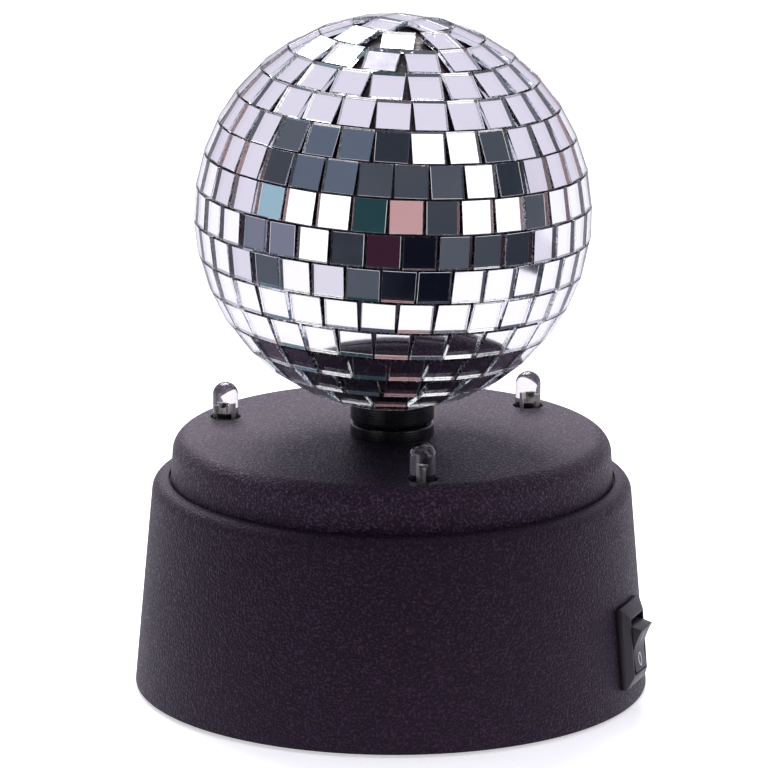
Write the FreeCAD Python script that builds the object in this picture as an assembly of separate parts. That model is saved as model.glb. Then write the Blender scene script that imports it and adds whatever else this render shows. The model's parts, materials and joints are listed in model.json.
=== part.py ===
import FreeCAD, Part
import math
import os

# Table-top mirror ball: a mirror-tiled ball turned slowly by a geared battery motor,
# on a round black base with three LEDs, a rocker switch and a tray for three AA cells.
# Millimetres. +Z is up, the Z axis is the ball's axle, and z = 0 is the table.

# ---- driving dimensions -------------------------------------------------------------
BALL_RADIUS = 37.9          # axis of the ball to the middle of a tile's face
BALL_CENTRE_Z = 93.6
TILE_SIZE = 6.1             # square mirror tile
TILE_THICKNESS = 1.0
GLUE_FILM = 0.05
TOP_RING_LATITUDE = 80.3
UPPER_PITCH_DEG = 9.9       # the first few rings from the top sit a little closer
UPPER_RINGS = 6
LOWER_PITCH_DEG = 10.06
TILING_LEAN_DEG = 2.6       # the tiling's pole leans this far off the axle, towards +X
RING_TILES = [4, 9, 15, 21, 26, 30, 33, 34, 35, 35, 32, 30, 26, 20, 16, 10]   # top ring first
RING_TURN_DEG = [-35, -4, 12, -6, -2.3, -2, 4.5, 3.3, -2.7, 2.1, -3.4, 1.4, -6.4, 7.5, 4, 6]
CORE_WALL = 1.8

BASE_FOOT_Z = 0.6           # lower rim of the housing
BASE_FOOT_RADIUS = 49.8
SHOULDER_RADIUS = 46.2
LEDGE_Z = 41.4
SHOULDER_ROUND = 2.5
HOUSING_WALL = 2.0
COVER_SEAT_Z = 40.6
COVER_FOOT_RADIUS = 42.8
COVER_TOP_RADIUS = 42.2
COVER_TOP_Z = 50.0
COVER_ROUND = 3.5
COVER_THICKNESS = 2.2
NECK_RADIUS = 8.1
NECK_RING_TOP_Z = 52.3
COLLAR_FOOT_Z = 52.7
AXLE_RADIUS = 2.0
RUNNING_CLEARANCE = 0.05

LED_CIRCLE_RADIUS = 34.7
LED_FIRST_ANGLE = -80.4
LED_RADIUS = 2.5
LED_LENGTH = 9.0
LED_HOLE_RADIUS = 3.1
SWITCH_ANGLE = -20.4
SWITCH_Z = 12.9
SWITCH_WIDTH = 11.0
SWITCH_HEIGHT = 16.0
SWITCH_PROUD = 2.0
ROCKER_TILT_DEG = 11.0      # rocker's lean from level to either pressed side

PLATE_Z = 1.2
PLATE_THICKNESS = 2.0
PLATE_RADIUS = 47.0
CELL_RADIUS = 7.1           # AA
CELL_LENGTH = 50.2
CELL_PITCH = 14.7
TRAY_INNER_LENGTH = 54.8
TRAY_WALL = 1.4
DOOR_THICKNESS = 1.5

GEAR_MODULE = 0.5
PINION_TEETH = 8
WHEEL_TEETH = 48
PROFILE_SHIFT = 0.5         # pinion fatter, wheel thinner, so that few teeth aren't undercut
FLANK_BACKLASH = 0.05
SHAFT_SPACING = GEAR_MODULE * (PINION_TEETH + WHEEL_TEETH) / 2
CASE_FLOOR_Z = 35.0
CASE_TOP_Z = 45.2
CASE_WALL = 1.5
LID_THICKNESS = 1.6
MOTOR_RADIUS = 12.2
MOTOR_HEIGHT = 12.3

ORIGIN = FreeCAD.Vector(0, 0, 0)
X_AXIS = FreeCAD.Vector(1, 0, 0)
Y_AXIS = FreeCAD.Vector(0, 1, 0)
Z_AXIS = FreeCAD.Vector(0, 0, 1)


# ---- small shape helpers ------------------------------------------------------------
def vec(x, y, z):
    return FreeCAD.Vector(x, y, z)


def rod(radius, z0, z1, x=0.0, y=0.0):
    return Part.makeCylinder(radius, z1 - z0, vec(x, y, z0))


def tube(outer, inner, z0, z1, x=0.0, y=0.0):
    return rod(outer, z0, z1, x, y).cut(rod(inner, z0, z1, x, y))


def block(x0, x1, y0, y1, z0, z1):
    return Part.makeBox(x1 - x0, y1 - y0, z1 - z0, vec(x0, y0, z0))


def ball(radius):
    return Part.makeSphere(radius, vec(0, 0, BALL_CENTRE_Z))


def lathe(points):
    """Solid of revolution about Z from a closed (radius, z) outline."""
    wire = Part.makePolygon([vec(r, 0, z) for r, z in points + points[:1]])
    return Part.Face(wire).revolve(ORIGIN, Z_AXIS, 360)


def turned(shape, degrees, centre=ORIGIN, axis=Z_AXIS):
    copy = shape.copy()
    copy.rotate(centre, axis, degrees)
    return copy


def moved(shape, x, y, z):
    copy = shape.copy()
    copy.translate(vec(x, y, z))
    return copy


def spaced_round(shape, count, first_degrees=0.0):
    return [turned(shape, first_degrees + 360.0 * i / count) for i in range(count)]


def rounded_rim(shape, radius, rim_radius, z):
    """Round the circular edge that lies at one radius and height."""
    def on_rim(edge):
        box = edge.BoundBox
        flat = abs(box.ZMin - z) < 0.01 and abs(box.ZMax - z) < 0.01
        return flat and abs(box.XMax - rim_radius) < 0.01
    return shape.makeFillet(radius, [edge for edge in shape.Edges if on_rim(edge)])


def rounded_uprights(shape, radius):
    """Round the four vertical edges of a block."""
    uprights = [e for e in shape.Edges if abs(e.BoundBox.ZLength - shape.BoundBox.ZLength) < 0.01]
    return shape.makeFillet(radius, uprights)


def at_polar(radius, degrees):
    angle = math.radians(degrees)
    return radius * math.cos(angle), radius * math.sin(angle)


def pan_screw(head_radius, head_height, shank_radius, length):
    """Self-tapping screw pointing up, with its head's underside at z = 0 and a cross recess."""
    head = rounded_rim(rod(head_radius, -head_height, 0), head_height * 0.45, head_radius, -head_height)
    tip = Part.makeCone(shank_radius, shank_radius * 0.3, shank_radius, vec(0, 0, length - shank_radius))
    screw = head.fuse([rod(shank_radius, 0, length - shank_radius), tip])
    arm = head_radius * 0.6
    slot = head_radius * 0.13
    depth = head_height * 0.6
    low = -head_height - 1
    recess = block(-arm, arm, -slot, slot, low, -head_height + depth)
    screw = screw.cut(recess.fuse(turned(recess, 90)))
    return screw.removeSplitter()


def wire_run(points, radius):
    """Insulated wire: straight runs joined by tangent arcs."""
    points = [vec(*p) for p in points]
    edges = []
    last = points[0]
    for before, corner, after in zip(points, points[1:], points[2:]):
        into = (corner - before).normalize()
        out = (after - corner).normalize()
        setback = 0.45 * min(corner.distanceToPoint(before), corner.distanceToPoint(after))
        start = corner - into * setback
        end = corner + out * setback
        half_turn = into.getAngle(out) / 2
        bulge = setback / math.tan(math.pi / 2 - half_turn)
        inner = (out - into).normalize()
        arc_radius = setback / math.tan(half_turn)
        middle = corner + inner * (math.hypot(arc_radius, setback) - arc_radius)
        edges.append(Part.LineSegment(last, start).toShape())
        edges.append(Part.Arc(start, middle, end).toShape())
        last = end
    edges.append(Part.LineSegment(last, points[-1]).toShape())
    path = Part.Wire(edges)
    along = (points[1] - points[0]).normalize()
    section = Part.Wire(Part.makeCircle(radius, points[0], along))
    return path.makePipeShell([section], True, False)


def save(name, *solids):
    shape = solids[0] if len(solids) == 1 else Part.makeCompound(list(solids))
    volume = sum(s.Volume for s in shape.Solids)
    print(f"{name}: {len(shape.Solids)} solids, {volume / 1000:.3f} cm3, valid {shape.isValid()}")
    shape.exportStep(f"parts/{name}.step")


# ---- mirror ball --------------------------------------------------------------------
def mirror_tile():
    """One glass tile lying on the ball's north pole, face up."""
    half = TILE_SIZE / 2
    return block(-half, half, -half, half, BALL_RADIUS - TILE_THICKNESS, BALL_RADIUS)


def leaning_on_ball(tiles):
    """Lean the tiling's pole off the axle and carry it up to the ball."""
    return [moved(turned(tile, TILING_LEAN_DEG, axis=Y_AXIS), 0, 0, BALL_CENTRE_Z) for tile in tiles]


def pole_tile():
    return leaning_on_ball([turned(mirror_tile(), RING_TURN_DEG[0])])


def ring_latitude(ring):
    upper = min(ring, UPPER_RINGS)
    return TOP_RING_LATITUDE - UPPER_PITCH_DEG * upper - LOWER_PITCH_DEG * (ring - upper)


def tile_ring(ring):
    first = turned(mirror_tile(), 90 - ring_latitude(ring), axis=X_AXIS)
    return leaning_on_ball(spaced_round(first, RING_TILES[ring], RING_TURN_DEG[ring]))


CORE_RADIUS = BALL_RADIUS - TILE_THICKNESS - GLUE_FILM
STEM_RADIUS = 4.95
STEM_TOP_Z = 70.0


def core_half(upper):
    shell = ball(CORE_RADIUS).cut(ball(CORE_RADIUS - CORE_WALL))
    span = CORE_RADIUS + 5
    low = BALL_CENTRE_Z if upper else BALL_CENTRE_Z - span
    return shell.common(block(-span, span, -span, span, low, low + span))


def core_upper():
    return core_half(True)


def core_lower():
    """Lower half, with the lip that centres the upper half and a ribbed hole for the stem."""
    inner = CORE_RADIUS - CORE_WALL
    lip = tube(inner - 0.15, inner - 1.3, BALL_CENTRE_Z - 3, BALL_CENTRE_Z + 2)
    root = tube(inner + 0.3, inner - 1.3, BALL_CENTRE_Z - 3, BALL_CENTRE_Z - 0.5)
    hole_radius = STEM_RADIUS + 0.05
    floor_z = BALL_CENTRE_Z - CORE_RADIUS
    guide = rod(hole_radius + 1.6, floor_z + 1, floor_z + 8).common(ball(CORE_RADIUS - 0.5))
    shell = core_half(False).fuse([lip, root, guide])
    return shell.cut(rod(hole_radius, floor_z - 1, floor_z + 9)).removeSplitter()


def ball_collar():
    """Collar that shows under the ball, and the stem inside the ball that grips the axle."""
    collar = lathe([(0, COLLAR_FOOT_Z), (NECK_RADIUS - 0.6, COLLAR_FOOT_Z),
                    (NECK_RADIUS, COLLAR_FOOT_Z + 0.6), (NECK_RADIUS, COLLAR_FOOT_Z + 6),
                    (0, COLLAR_FOOT_Z + 6)]).cut(ball(CORE_RADIUS + 0.02))
    stem = rod(STEM_RADIUS, COLLAR_FOOT_Z + 2, STEM_TOP_Z)
    bore = rod(AXLE_RADIUS, COLLAR_FOOT_Z - 1, STEM_TOP_Z - 1)
    return collar.fuse(stem).cut(bore).removeSplitter()


# ---- gears --------------------------------------------------------------------------
PIN_RADIUS = 0.75
PIN_BORE = PIN_RADIUS + RUNNING_CLEARANCE
PRESSURE_ANGLE = math.radians(20)
FLANK_POINTS = 4
SHAFT_B_X = SHAFT_SPACING
MOTOR_X = -SHAFT_SPACING
PINION_TIP_CUT = 0.15       # the fat pinion's points are taken off


def involute(angle):
    return math.tan(angle) - angle


def spur_gear(teeth, shift, tip_cut, tooth_at_zero, z0, z1, x):
    """Spur gear of straight-sided flank facets that follow the involute."""
    pitch = GEAR_MODULE * teeth / 2
    root = pitch - GEAR_MODULE * (1.25 - shift)
    tip = pitch + GEAR_MODULE * (1 + shift) - tip_cut
    base = pitch * math.cos(PRESSURE_ANGLE)
    thickness = GEAR_MODULE * (math.pi / 2 + 2 * shift * math.tan(PRESSURE_ANGLE)) - FLANK_BACKLASH
    start = max(base, root)
    flank = []
    for i in range(FLANK_POINTS):
        radius = start + (tip - start) * i / (FLANK_POINTS - 1)
        pressure = math.acos(min(1.0, base / radius))
        half_angle = thickness / 2 / pitch + involute(PRESSURE_ANGLE) - involute(pressure)
        flank.append((radius, half_angle))
    if root < base:
        flank.insert(0, (root, flank[0][1]))
    first = 0.0 if tooth_at_zero else math.pi / teeth
    outline = []
    for tooth in range(teeth):
        middle = first + 2 * math.pi * tooth / teeth
        sides = [(r, middle - a) for r, a in flank] + [(r, middle + a) for r, a in reversed(flank)]
        outline += [vec(r * math.cos(a), r * math.sin(a), z0) for r, a in sides]
    face = Part.Face(Part.makePolygon(outline + outline[:1]))
    return moved(face.extrude(vec(0, 0, z1 - z0)), x, 0, 0)


def wheel(z0, z1, x):
    return spur_gear(WHEEL_TEETH, -PROFILE_SHIFT, 0.0, False, z0, z1, x)


def pinion(z0, z1, x):
    return spur_gear(PINION_TEETH, PROFILE_SHIFT, PINION_TIP_CUT, True, z0, z1, x)


def lightened(gear, z0, z1, x):
    """Recess both faces between hub and rim, as moulded gears have."""
    depth = (z1 - z0) * 0.25
    low = tube(10.2, 4.4, z0, z0 + depth, x)
    high = tube(10.2, 4.4, z1 - depth, z1, x)
    return gear.cut(low.fuse(high))


def compound_gear(wheel_z, pinion_top_z, x):
    wheel_top = wheel_z + 1.6
    web = lightened(wheel(wheel_z, wheel_top, x), wheel_z, wheel_top, x)
    leaf = pinion(wheel_top, pinion_top_z, x)
    return web.fuse(leaf).cut(rod(PIN_BORE, wheel_z - 1, pinion_top_z + 1, x)).removeSplitter()


def output_gear():
    body = lightened(wheel(41.9, 43.5, 0), 41.9, 43.5, 0).fuse(rod(4.0, 43.5, 44.9))
    return body.cut(rod(PIN_BORE, 41, 43.3)).cut(rod(AXLE_RADIUS, 43.3, 46)).removeSplitter()


def axle():
    """Steel axle from the output gear to the ball's stem, chamfered at its upper end."""
    top = STEM_TOP_Z - 1.2
    body = rod(AXLE_RADIUS, 43.3, top)
    return body.makeChamfer(0.4, [e for e in body.Edges if abs(e.BoundBox.ZMin - top) < 0.01])


# ---- gearbox and motor --------------------------------------------------------------
CASE_X0, CASE_X1 = -23.0, 29.0
CASE_HALF_Y = 16.0
CASE_SCREWS = [(x, y) for x in (-20.0, 26.0) for y in (-13.0, 13.0)]
PILLAR_RADIUS = 2.4
CASE_SCREW_RADIUS = 1.0
MOTOR_SCREW_Y = 8.5
MOTOR_BOSS_RADIUS = 3.0
COVER_UNDERSIDE_Z = COVER_TOP_Z - COVER_THICKNESS


def gearbox_case():
    outer = rounded_uprights(block(CASE_X0, CASE_X1, -CASE_HALF_Y, CASE_HALF_Y,
                                   CASE_FLOOR_Z, CASE_TOP_Z), 3.0)
    w = CASE_WALL
    inner = rounded_uprights(block(CASE_X0 + w, CASE_X1 - w, -CASE_HALF_Y + w, CASE_HALF_Y - w,
                                   CASE_FLOOR_Z + LID_THICKNESS, CASE_TOP_Z + 1), 2.0)
    pillars = [rod(PILLAR_RADIUS, CASE_FLOOR_Z, CASE_TOP_Z, x, y) for x, y in CASE_SCREWS]
    case = outer.cut(inner).fuse(pillars)
    holes = [rod(CASE_SCREW_RADIUS + 0.1, 0, 60, x, y) for x, y in CASE_SCREWS]
    holes += [rod(PIN_RADIUS, 0, 60, x) for x in (0, SHAFT_B_X)]
    holes += [rod(MOTOR_BOSS_RADIUS + 0.1, 0, 60, MOTOR_X)]
    holes += [rod(1.1, 0, 60, MOTOR_X, y) for y in (-MOTOR_SCREW_Y, MOTOR_SCREW_Y)]
    return case.cut(Part.makeCompound(holes)).removeSplitter()


def gearbox_lid():
    lid = rounded_uprights(block(CASE_X0, CASE_X1, -CASE_HALF_Y, CASE_HALF_Y,
                                 CASE_TOP_Z, CASE_TOP_Z + LID_THICKNESS), 3.0)
    holes = [rod(CASE_SCREW_RADIUS + 0.1, 40, 60, x, y) for x, y in CASE_SCREWS]
    holes += [rod(AXLE_RADIUS + RUNNING_CLEARANCE, 40, 60), rod(PIN_RADIUS, 40, 60, SHAFT_B_X)]
    return lid.cut(Part.makeCompound(holes))


def gearbox_screws():
    screw = pan_screw(1.9, 1.4, CASE_SCREW_RADIUS, 13.4)
    return [moved(screw, x, y, CASE_FLOOR_Z) for x, y in CASE_SCREWS]


def motor_can():
    """Drawn steel cup, open at the bottom, with the bearing boss that locates it in the case."""
    low = CASE_FLOOR_Z - MOTOR_HEIGHT
    cup = rounded_rim(rod(MOTOR_RADIUS, low, CASE_FLOOR_Z), 1.0, MOTOR_RADIUS, CASE_FLOOR_Z)
    cup = cup.cut(rod(MOTOR_RADIUS - 0.8, low - 1, CASE_FLOOR_Z - 0.8))
    cup = cup.fuse(rod(MOTOR_BOSS_RADIUS, CASE_FLOOR_Z - 0.4, CASE_FLOOR_Z + 1.4))
    cup = cup.cut(rod(1.0 + RUNNING_CLEARANCE, low, CASE_FLOOR_Z + 3))
    screw_holes = [rod(0.8, low, CASE_FLOOR_Z + 1, 0, y) for y in (-MOTOR_SCREW_Y, MOTOR_SCREW_Y)]
    return moved(cup.cut(Part.makeCompound(screw_holes)).removeSplitter(), MOTOR_X, 0, 0)


def motor_end_cap():
    low = CASE_FLOOR_Z - MOTOR_HEIGHT
    cap = rod(MOTOR_RADIUS - 0.8, low, low + 1.6).fuse(rod(3.0, low - 0.9, low))
    cap = cap.cut(rod(1.0 + RUNNING_CLEARANCE, low - 0.3, low + 2))
    slots = [block(-1.5, 1.5, y - 0.2, y + 0.2, low - 1, low + 2) for y in (-8.0, 8.0)]
    return moved(cap.cut(Part.makeCompound(slots)).removeSplitter(), MOTOR_X, 0, 0)


def motor_terminals():
    low = CASE_FLOOR_Z - MOTOR_HEIGHT
    tags = [block(-1.5, 1.5, y - 0.2, y + 0.2, low - 1.6, low + 1.6) for y in (-8.0, 8.0)]
    return [moved(tag, MOTOR_X, 0, 0) for tag in tags]


def motor_magnet():
    low = CASE_FLOOR_Z - MOTOR_HEIGHT
    return moved(tube(MOTOR_RADIUS - 0.85, 9.6, low + 2.6, CASE_FLOOR_Z - 3.4), MOTOR_X, 0, 0)


def motor_armature():
    """Three-pole laminated core on the motor's shaft."""
    low = CASE_FLOOR_Z - MOTOR_HEIGHT + 3
    high = CASE_FLOOR_Z - 3.4
    hub = rod(3.0, low, high)
    neck = block(0, 8, -1.2, 1.2, low, high)
    shoe = tube(9.0, 7.4, low, high).common(block(0, 10, -6.2, 6.2, low, high))
    poles = spaced_round(neck.fuse(shoe), 3)
    return moved(hub.fuse(poles).cut(rod(1.0, low, high)).removeSplitter(), MOTOR_X, 0, 0)


def motor_screws():
    screw = turned(pan_screw(1.6, 1.1, 0.8, 3.6), 180, axis=X_AXIS)
    z = CASE_FLOOR_Z + LID_THICKNESS
    return [moved(screw, MOTOR_X, y, z) for y in (-MOTOR_SCREW_Y, MOTOR_SCREW_Y)]


# ---- base ---------------------------------------------------------------------------
WALL_SLOPE = (BASE_FOOT_RADIUS - SHOULDER_RADIUS) / (LEDGE_Z - BASE_FOOT_Z)
WALL_LEAN_DEG = math.degrees(math.atan(WALL_SLOPE))
FLANGE_Z = 38.6
FLANGE_RADIUS = 40.2
SPIGOT_RADIUS = 40.0
PLATE_SCREW_CIRCLE = 43.2
PLATE_SCREW_ANGLE = 30.0
COVER_SCREW_CIRCLE = 37.0
COVER_SCREW_ANGLE = SWITCH_ANGLE
SCREW_PILOT = 1.25
PLATE_TOP_Z = PLATE_Z + PLATE_THICKNESS


def wall_radius(z):
    return BASE_FOOT_RADIUS - WALL_SLOPE * (z - BASE_FOOT_Z)


def on_switch_seat(shape):
    """Take a shape from the switch's own frame to the wall: x across, y up the wall, z out."""
    standing = turned(shape, 90, axis=X_AXIS)
    facing_x = turned(standing, 90)
    leaning = turned(facing_x, -WALL_LEAN_DEG, axis=Y_AXIS)
    placed = moved(leaning, wall_radius(SWITCH_Z) - SEAT_DEPTH, 0, SWITCH_Z)
    return turned(placed, SWITCH_ANGLE)


SEAT_DEPTH = 0.4            # flat let into the round wall behind the bezel
CUTOUT_WIDTH = 8.6
CUTOUT_HEIGHT = 13.6


def switch_seat_cut():
    half_w = SWITCH_WIDTH / 2 + 0.15
    half_h = SWITCH_HEIGHT / 2 + 0.15
    seat = block(-half_w, half_w, -half_h, half_h, 0, 4)
    hole = block(-CUTOUT_WIDTH / 2, CUTOUT_WIDTH / 2, -CUTOUT_HEIGHT / 2, CUTOUT_HEIGHT / 2, -5, 4)
    return on_switch_seat(seat.fuse(hole))


def base_housing():
    wall = HOUSING_WALL
    shell = lathe([(BASE_FOOT_RADIUS, BASE_FOOT_Z), (SHOULDER_RADIUS, LEDGE_Z),
                   (COVER_FOOT_RADIUS + 0.25, LEDGE_Z), (COVER_FOOT_RADIUS + 0.25, COVER_SEAT_Z),
                   (FLANGE_RADIUS, COVER_SEAT_Z), (FLANGE_RADIUS, FLANGE_Z),
                   (wall_radius(FLANGE_Z) - wall, FLANGE_Z), (BASE_FOOT_RADIUS - wall, BASE_FOOT_Z)])
    shell = rounded_rim(shell, SHOULDER_ROUND, SHOULDER_RADIUS, LEDGE_Z)
    shell = rounded_rim(shell, 0.25, COVER_FOOT_RADIUS + 0.25, LEDGE_Z)
    boss = rod(3.3, PLATE_TOP_Z, 16, PLATE_SCREW_CIRCLE, 0)
    boss = boss.fuse(block(PLATE_SCREW_CIRCLE, 47.2, -0.9, 0.9, PLATE_TOP_Z, 15))
    tab = block(34, 41, -4, 4, FLANGE_Z - 2.4, FLANGE_Z).fuse(block(40.4, 43.6, -4, 4, FLANGE_Z - 2.4, 40))
    solid = shell.fuse(spaced_round(boss, 3, PLATE_SCREW_ANGLE) + spaced_round(tab, 3, COVER_SCREW_ANGLE))
    pilots = spaced_round(rod(SCREW_PILOT, PLATE_TOP_Z - 1, 14, PLATE_SCREW_CIRCLE, 0), 3, PLATE_SCREW_ANGLE)
    clear = spaced_round(rod(1.5, 30, FLANGE_Z + 0.01, COVER_SCREW_CIRCLE, 0), 3, COVER_SCREW_ANGLE)
    return solid.cut(Part.makeCompound(pilots + clear + [switch_seat_cut()])).removeSplitter()


def top_cover():
    underside = COVER_UNDERSIDE_Z
    cap = lathe([(COVER_FOOT_RADIUS, COVER_SEAT_Z), (COVER_TOP_RADIUS, COVER_TOP_Z), (6.0, COVER_TOP_Z),
                 (6.0, underside), (40.3, underside), (40.3, 42.2), (38.2, 42.2), (38.2, FLANGE_Z),
                 (SPIGOT_RADIUS, FLANGE_Z), (SPIGOT_RADIUS, COVER_SEAT_Z)])
    cap = rounded_rim(cap, COVER_ROUND, COVER_TOP_RADIUS, COVER_TOP_Z)
    bosses = spaced_round(rod(2.9, FLANGE_Z, underside + 0.5, COVER_SCREW_CIRCLE, 0), 3, COVER_SCREW_ANGLE)
    pads = [rod(PILLAR_RADIUS, CASE_TOP_Z + LID_THICKNESS, underside + 0.5, x, y) for x, y in CASE_SCREWS]
    cap = cap.fuse(bosses + pads)
    holes = spaced_round(rod(SCREW_PILOT, FLANGE_Z - 1, 46.5, COVER_SCREW_CIRCLE, 0), 3, COVER_SCREW_ANGLE)
    holes += [rod(CASE_SCREW_RADIUS, 46, 48.6, x, y) for x, y in CASE_SCREWS]
    bevel = Part.makeCone(LED_HOLE_RADIUS, LED_HOLE_RADIUS + 0.3, 0.3, vec(LED_CIRCLE_RADIUS, 0, COVER_TOP_Z - 0.3))
    led_hole = rod(LED_HOLE_RADIUS, 46, COVER_TOP_Z + 1, LED_CIRCLE_RADIUS, 0)
    holes += spaced_round(led_hole.fuse(bevel), 3, LED_FIRST_ANGLE)
    return cap.cut(Part.makeCompound(holes)).removeSplitter()


BUSH_RADIUS = 3.5


def neck_ring():
    """Fixed ring pressed into the cover, which carries the axle's bush."""
    ring = lathe([(BUSH_RADIUS, COVER_UNDERSIDE_Z - 0.8), (6.0, COVER_UNDERSIDE_Z - 0.8), (6.0, COVER_TOP_Z),
                  (NECK_RADIUS, COVER_TOP_Z), (NECK_RADIUS, NECK_RING_TOP_Z - 0.3),
                  (NECK_RADIUS - 0.3, NECK_RING_TOP_Z), (BUSH_RADIUS, NECK_RING_TOP_Z)])
    return ring


def axle_bush():
    return tube(BUSH_RADIUS, AXLE_RADIUS + RUNNING_CLEARANCE, COVER_UNDERSIDE_Z - 0.8, NECK_RING_TOP_Z + 0.1)


def cover_screws():
    screw = moved(pan_screw(2.6, 1.9, 1.25, 9.5), COVER_SCREW_CIRCLE, 0, FLANGE_Z - 2.4)
    return spaced_round(screw, 3, COVER_SCREW_ANGLE)


def plate_screws():
    screw = moved(pan_screw(2.5, 1.0, 1.25, 11.0), PLATE_SCREW_CIRCLE, 0, PLATE_Z + 1.1)
    return spaced_round(screw, 3, PLATE_SCREW_ANGLE)


# ---- bottom plate, battery tray and door --------------------------------------------
TRAY_HALF_X = CELL_PITCH * 1.5 + 0.2
TRAY_HALF_Y = TRAY_INNER_LENGTH / 2
TRAY_ROOF_Z = PLATE_TOP_Z + 2 * CELL_RADIUS + 0.5
DOOR_HALF_X = TRAY_HALF_X - 0.25
DOOR_HALF_Y = TRAY_HALF_Y - 0.25
DOOR_HINGE_Y = -DOOR_HALF_Y + DOOR_THICKNESS / 2
DOOR_HINGE_Z = PLATE_Z + DOOR_THICKNESS / 2
HINGE_PIN_RADIUS = 0.5
HINGE_PIN_REACH = DOOR_HALF_X + 1.1
FOOT_CIRCLE = 41.0
FOOT_RADIUS = 4.0


def bottom_plate():
    """Round plate with the battery tray moulded on it, open downwards."""
    t = TRAY_WALL
    plate = rod(PLATE_RADIUS, PLATE_Z, PLATE_TOP_Z)
    outer = block(-TRAY_HALF_X - t, TRAY_HALF_X + t, -TRAY_HALF_Y - t, TRAY_HALF_Y + t,
                  PLATE_Z, TRAY_ROOF_Z + t)
    inner = block(-TRAY_HALF_X, TRAY_HALF_X, -TRAY_HALF_Y, TRAY_HALF_Y, PLATE_Z - 1, TRAY_ROOF_Z)
    body = plate.fuse(rounded_uprights(outer, 1.0)).cut(inner)
    counterbore = rod(2.8, PLATE_Z - 1, PLATE_Z + 1.1, PLATE_SCREW_CIRCLE, 0)
    hole = rod(1.4, PLATE_Z, PLATE_TOP_Z + 1, PLATE_SCREW_CIRCLE, 0)
    holes = spaced_round(counterbore.fuse(hole), 3, PLATE_SCREW_ANGLE)
    holes.append(hinge_rod(HINGE_PIN_RADIUS + RUNNING_CLEARANCE, HINGE_PIN_REACH + 0.1))
    return body.cut(Part.makeCompound(holes)).removeSplitter()


def hinge_rod(radius, reach):
    return Part.makeCylinder(radius, 2 * reach, vec(-reach, DOOR_HINGE_Y, DOOR_HINGE_Z), X_AXIS)


def battery_door():
    """Door hung on a pin at each end of its rounded -Y edge, with thumb ridges by its latch."""
    top = PLATE_Z + DOOR_THICKNESS
    flat = block(-DOOR_HALF_X, DOOR_HALF_X, DOOR_HINGE_Y, DOOR_HALF_Y, PLATE_Z, top)
    edge = hinge_rod(DOOR_THICKNESS / 2, DOOR_HALF_X)
    door = flat.fuse([edge, hinge_rod(HINGE_PIN_RADIUS, HINGE_PIN_REACH)])
    grooves = [block(-6, 6, y - 0.25, y + 0.25, PLATE_Z - 1, PLATE_Z + 0.4) for y in (18, 19.5, 21)]
    latch_slot = block(-4.3, 4.3, DOOR_HALF_Y - 3.2, DOOR_HALF_Y + 1, PLATE_Z - 1, top + 1)
    return door.cut(Part.makeCompound(grooves + [latch_slot])).removeSplitter()


def door_latch():
    """Springy latch tongue welded in the door's slot, its hook resting above the plate's edge."""
    top = PLATE_Z + DOOR_THICKNESS
    tongue = block(-4.3, 4.3, DOOR_HALF_Y - 3.2, DOOR_HALF_Y - 2.0, PLATE_Z, top + 3)
    finger = block(-4.0, 4.0, DOOR_HALF_Y - 0.9, DOOR_HALF_Y - 0.1, PLATE_Z, top + 3)
    bridge = block(-4.0, 4.0, DOOR_HALF_Y - 2.0, DOOR_HALF_Y - 0.9, top + 2.2, top + 3)
    return tongue.fuse([finger, bridge]).removeSplitter()


CELL_AXIS_Z = PLATE_TOP_Z + CELL_RADIUS + 0.1
CELL_FRONT_Y = -CELL_LENGTH / 2 + 1.5


def battery_cells():
    """Three AA cells side by side, alternate ones turned round, each with its raised pole."""
    y0 = CELL_FRONT_Y
    can = Part.makeCylinder(CELL_RADIUS, CELL_LENGTH - 1.0, vec(0, y0, 0), Y_AXIS)
    can = can.makeFillet(0.6, [e for e in can.Edges if e.BoundBox.YLength < 0.01])
    pole = Part.makeCylinder(2.7, 1.2, vec(0, y0 + CELL_LENGTH - 1.2, 0), Y_AXIS)
    cell = can.fuse(pole)
    cells = []
    for place in (-1, 0, 1):
        one = turned(cell, 180) if place == 0 else cell
        cells.append(moved(one, place * CELL_PITCH, 0, CELL_AXIS_Z))
    return cells


def contact_plates():
    """Flat contacts standing against the tray's two end walls."""
    t = 0.4
    back = TRAY_HALF_Y - t
    low, high = PLATE_TOP_Z + 3, TRAY_ROOF_Z - 1
    wide = block(-CELL_PITCH - 5, 5, back, back + t, low, high)
    single = block(CELL_PITCH - 5, CELL_PITCH + 5, back, back + t, low, high)
    return [wide, single, turned(wide, 180), turned(single, 180)]


def leaf_spring(x):
    """Bent strip of spring brass: flat on the tray's -Y wall, bowed out to press on a cell."""
    half_width = 3.5
    reach = 2.9
    thick = 0.35
    wall = -TRAY_HALF_Y + 0.4
    low, high = CELL_AXIS_Z - 4.2, CELL_AXIS_Z + 4.2

    def bow(offset):
        top = vec(0, wall + offset, high)
        bottom = vec(0, wall + offset, low)
        crest = vec(0, wall + offset + reach - thick, CELL_AXIS_Z)
        return Part.Arc(bottom, crest, top).toShape()

    ends = [Part.makeLine(vec(0, wall, z), vec(0, wall + thick, z)) for z in (low, high)]
    outline = Part.Wire(Part.__sortEdges__([bow(0), bow(thick)] + ends))
    strip = Part.Face(outline).extrude(vec(2 * half_width, 0, 0))
    return moved(strip, x - half_width, 0, 0)


def contact_springs():
    return [leaf_spring(-CELL_PITCH), leaf_spring(CELL_PITCH), turned(leaf_spring(0), 180)]


def rubber_feet():
    foot = rounded_rim(rod(FOOT_RADIUS, 0, PLATE_Z), 0.4, FOOT_RADIUS, 0)
    return spaced_round(moved(foot, FOOT_CIRCLE, 0, 0), 4, 45)


# ---- LEDs ---------------------------------------------------------------------------
LED_FLANGE_Z = COVER_UNDERSIDE_Z
BOARD_THICKNESS = 1.6
LEAD_PITCH = 2.54


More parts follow.
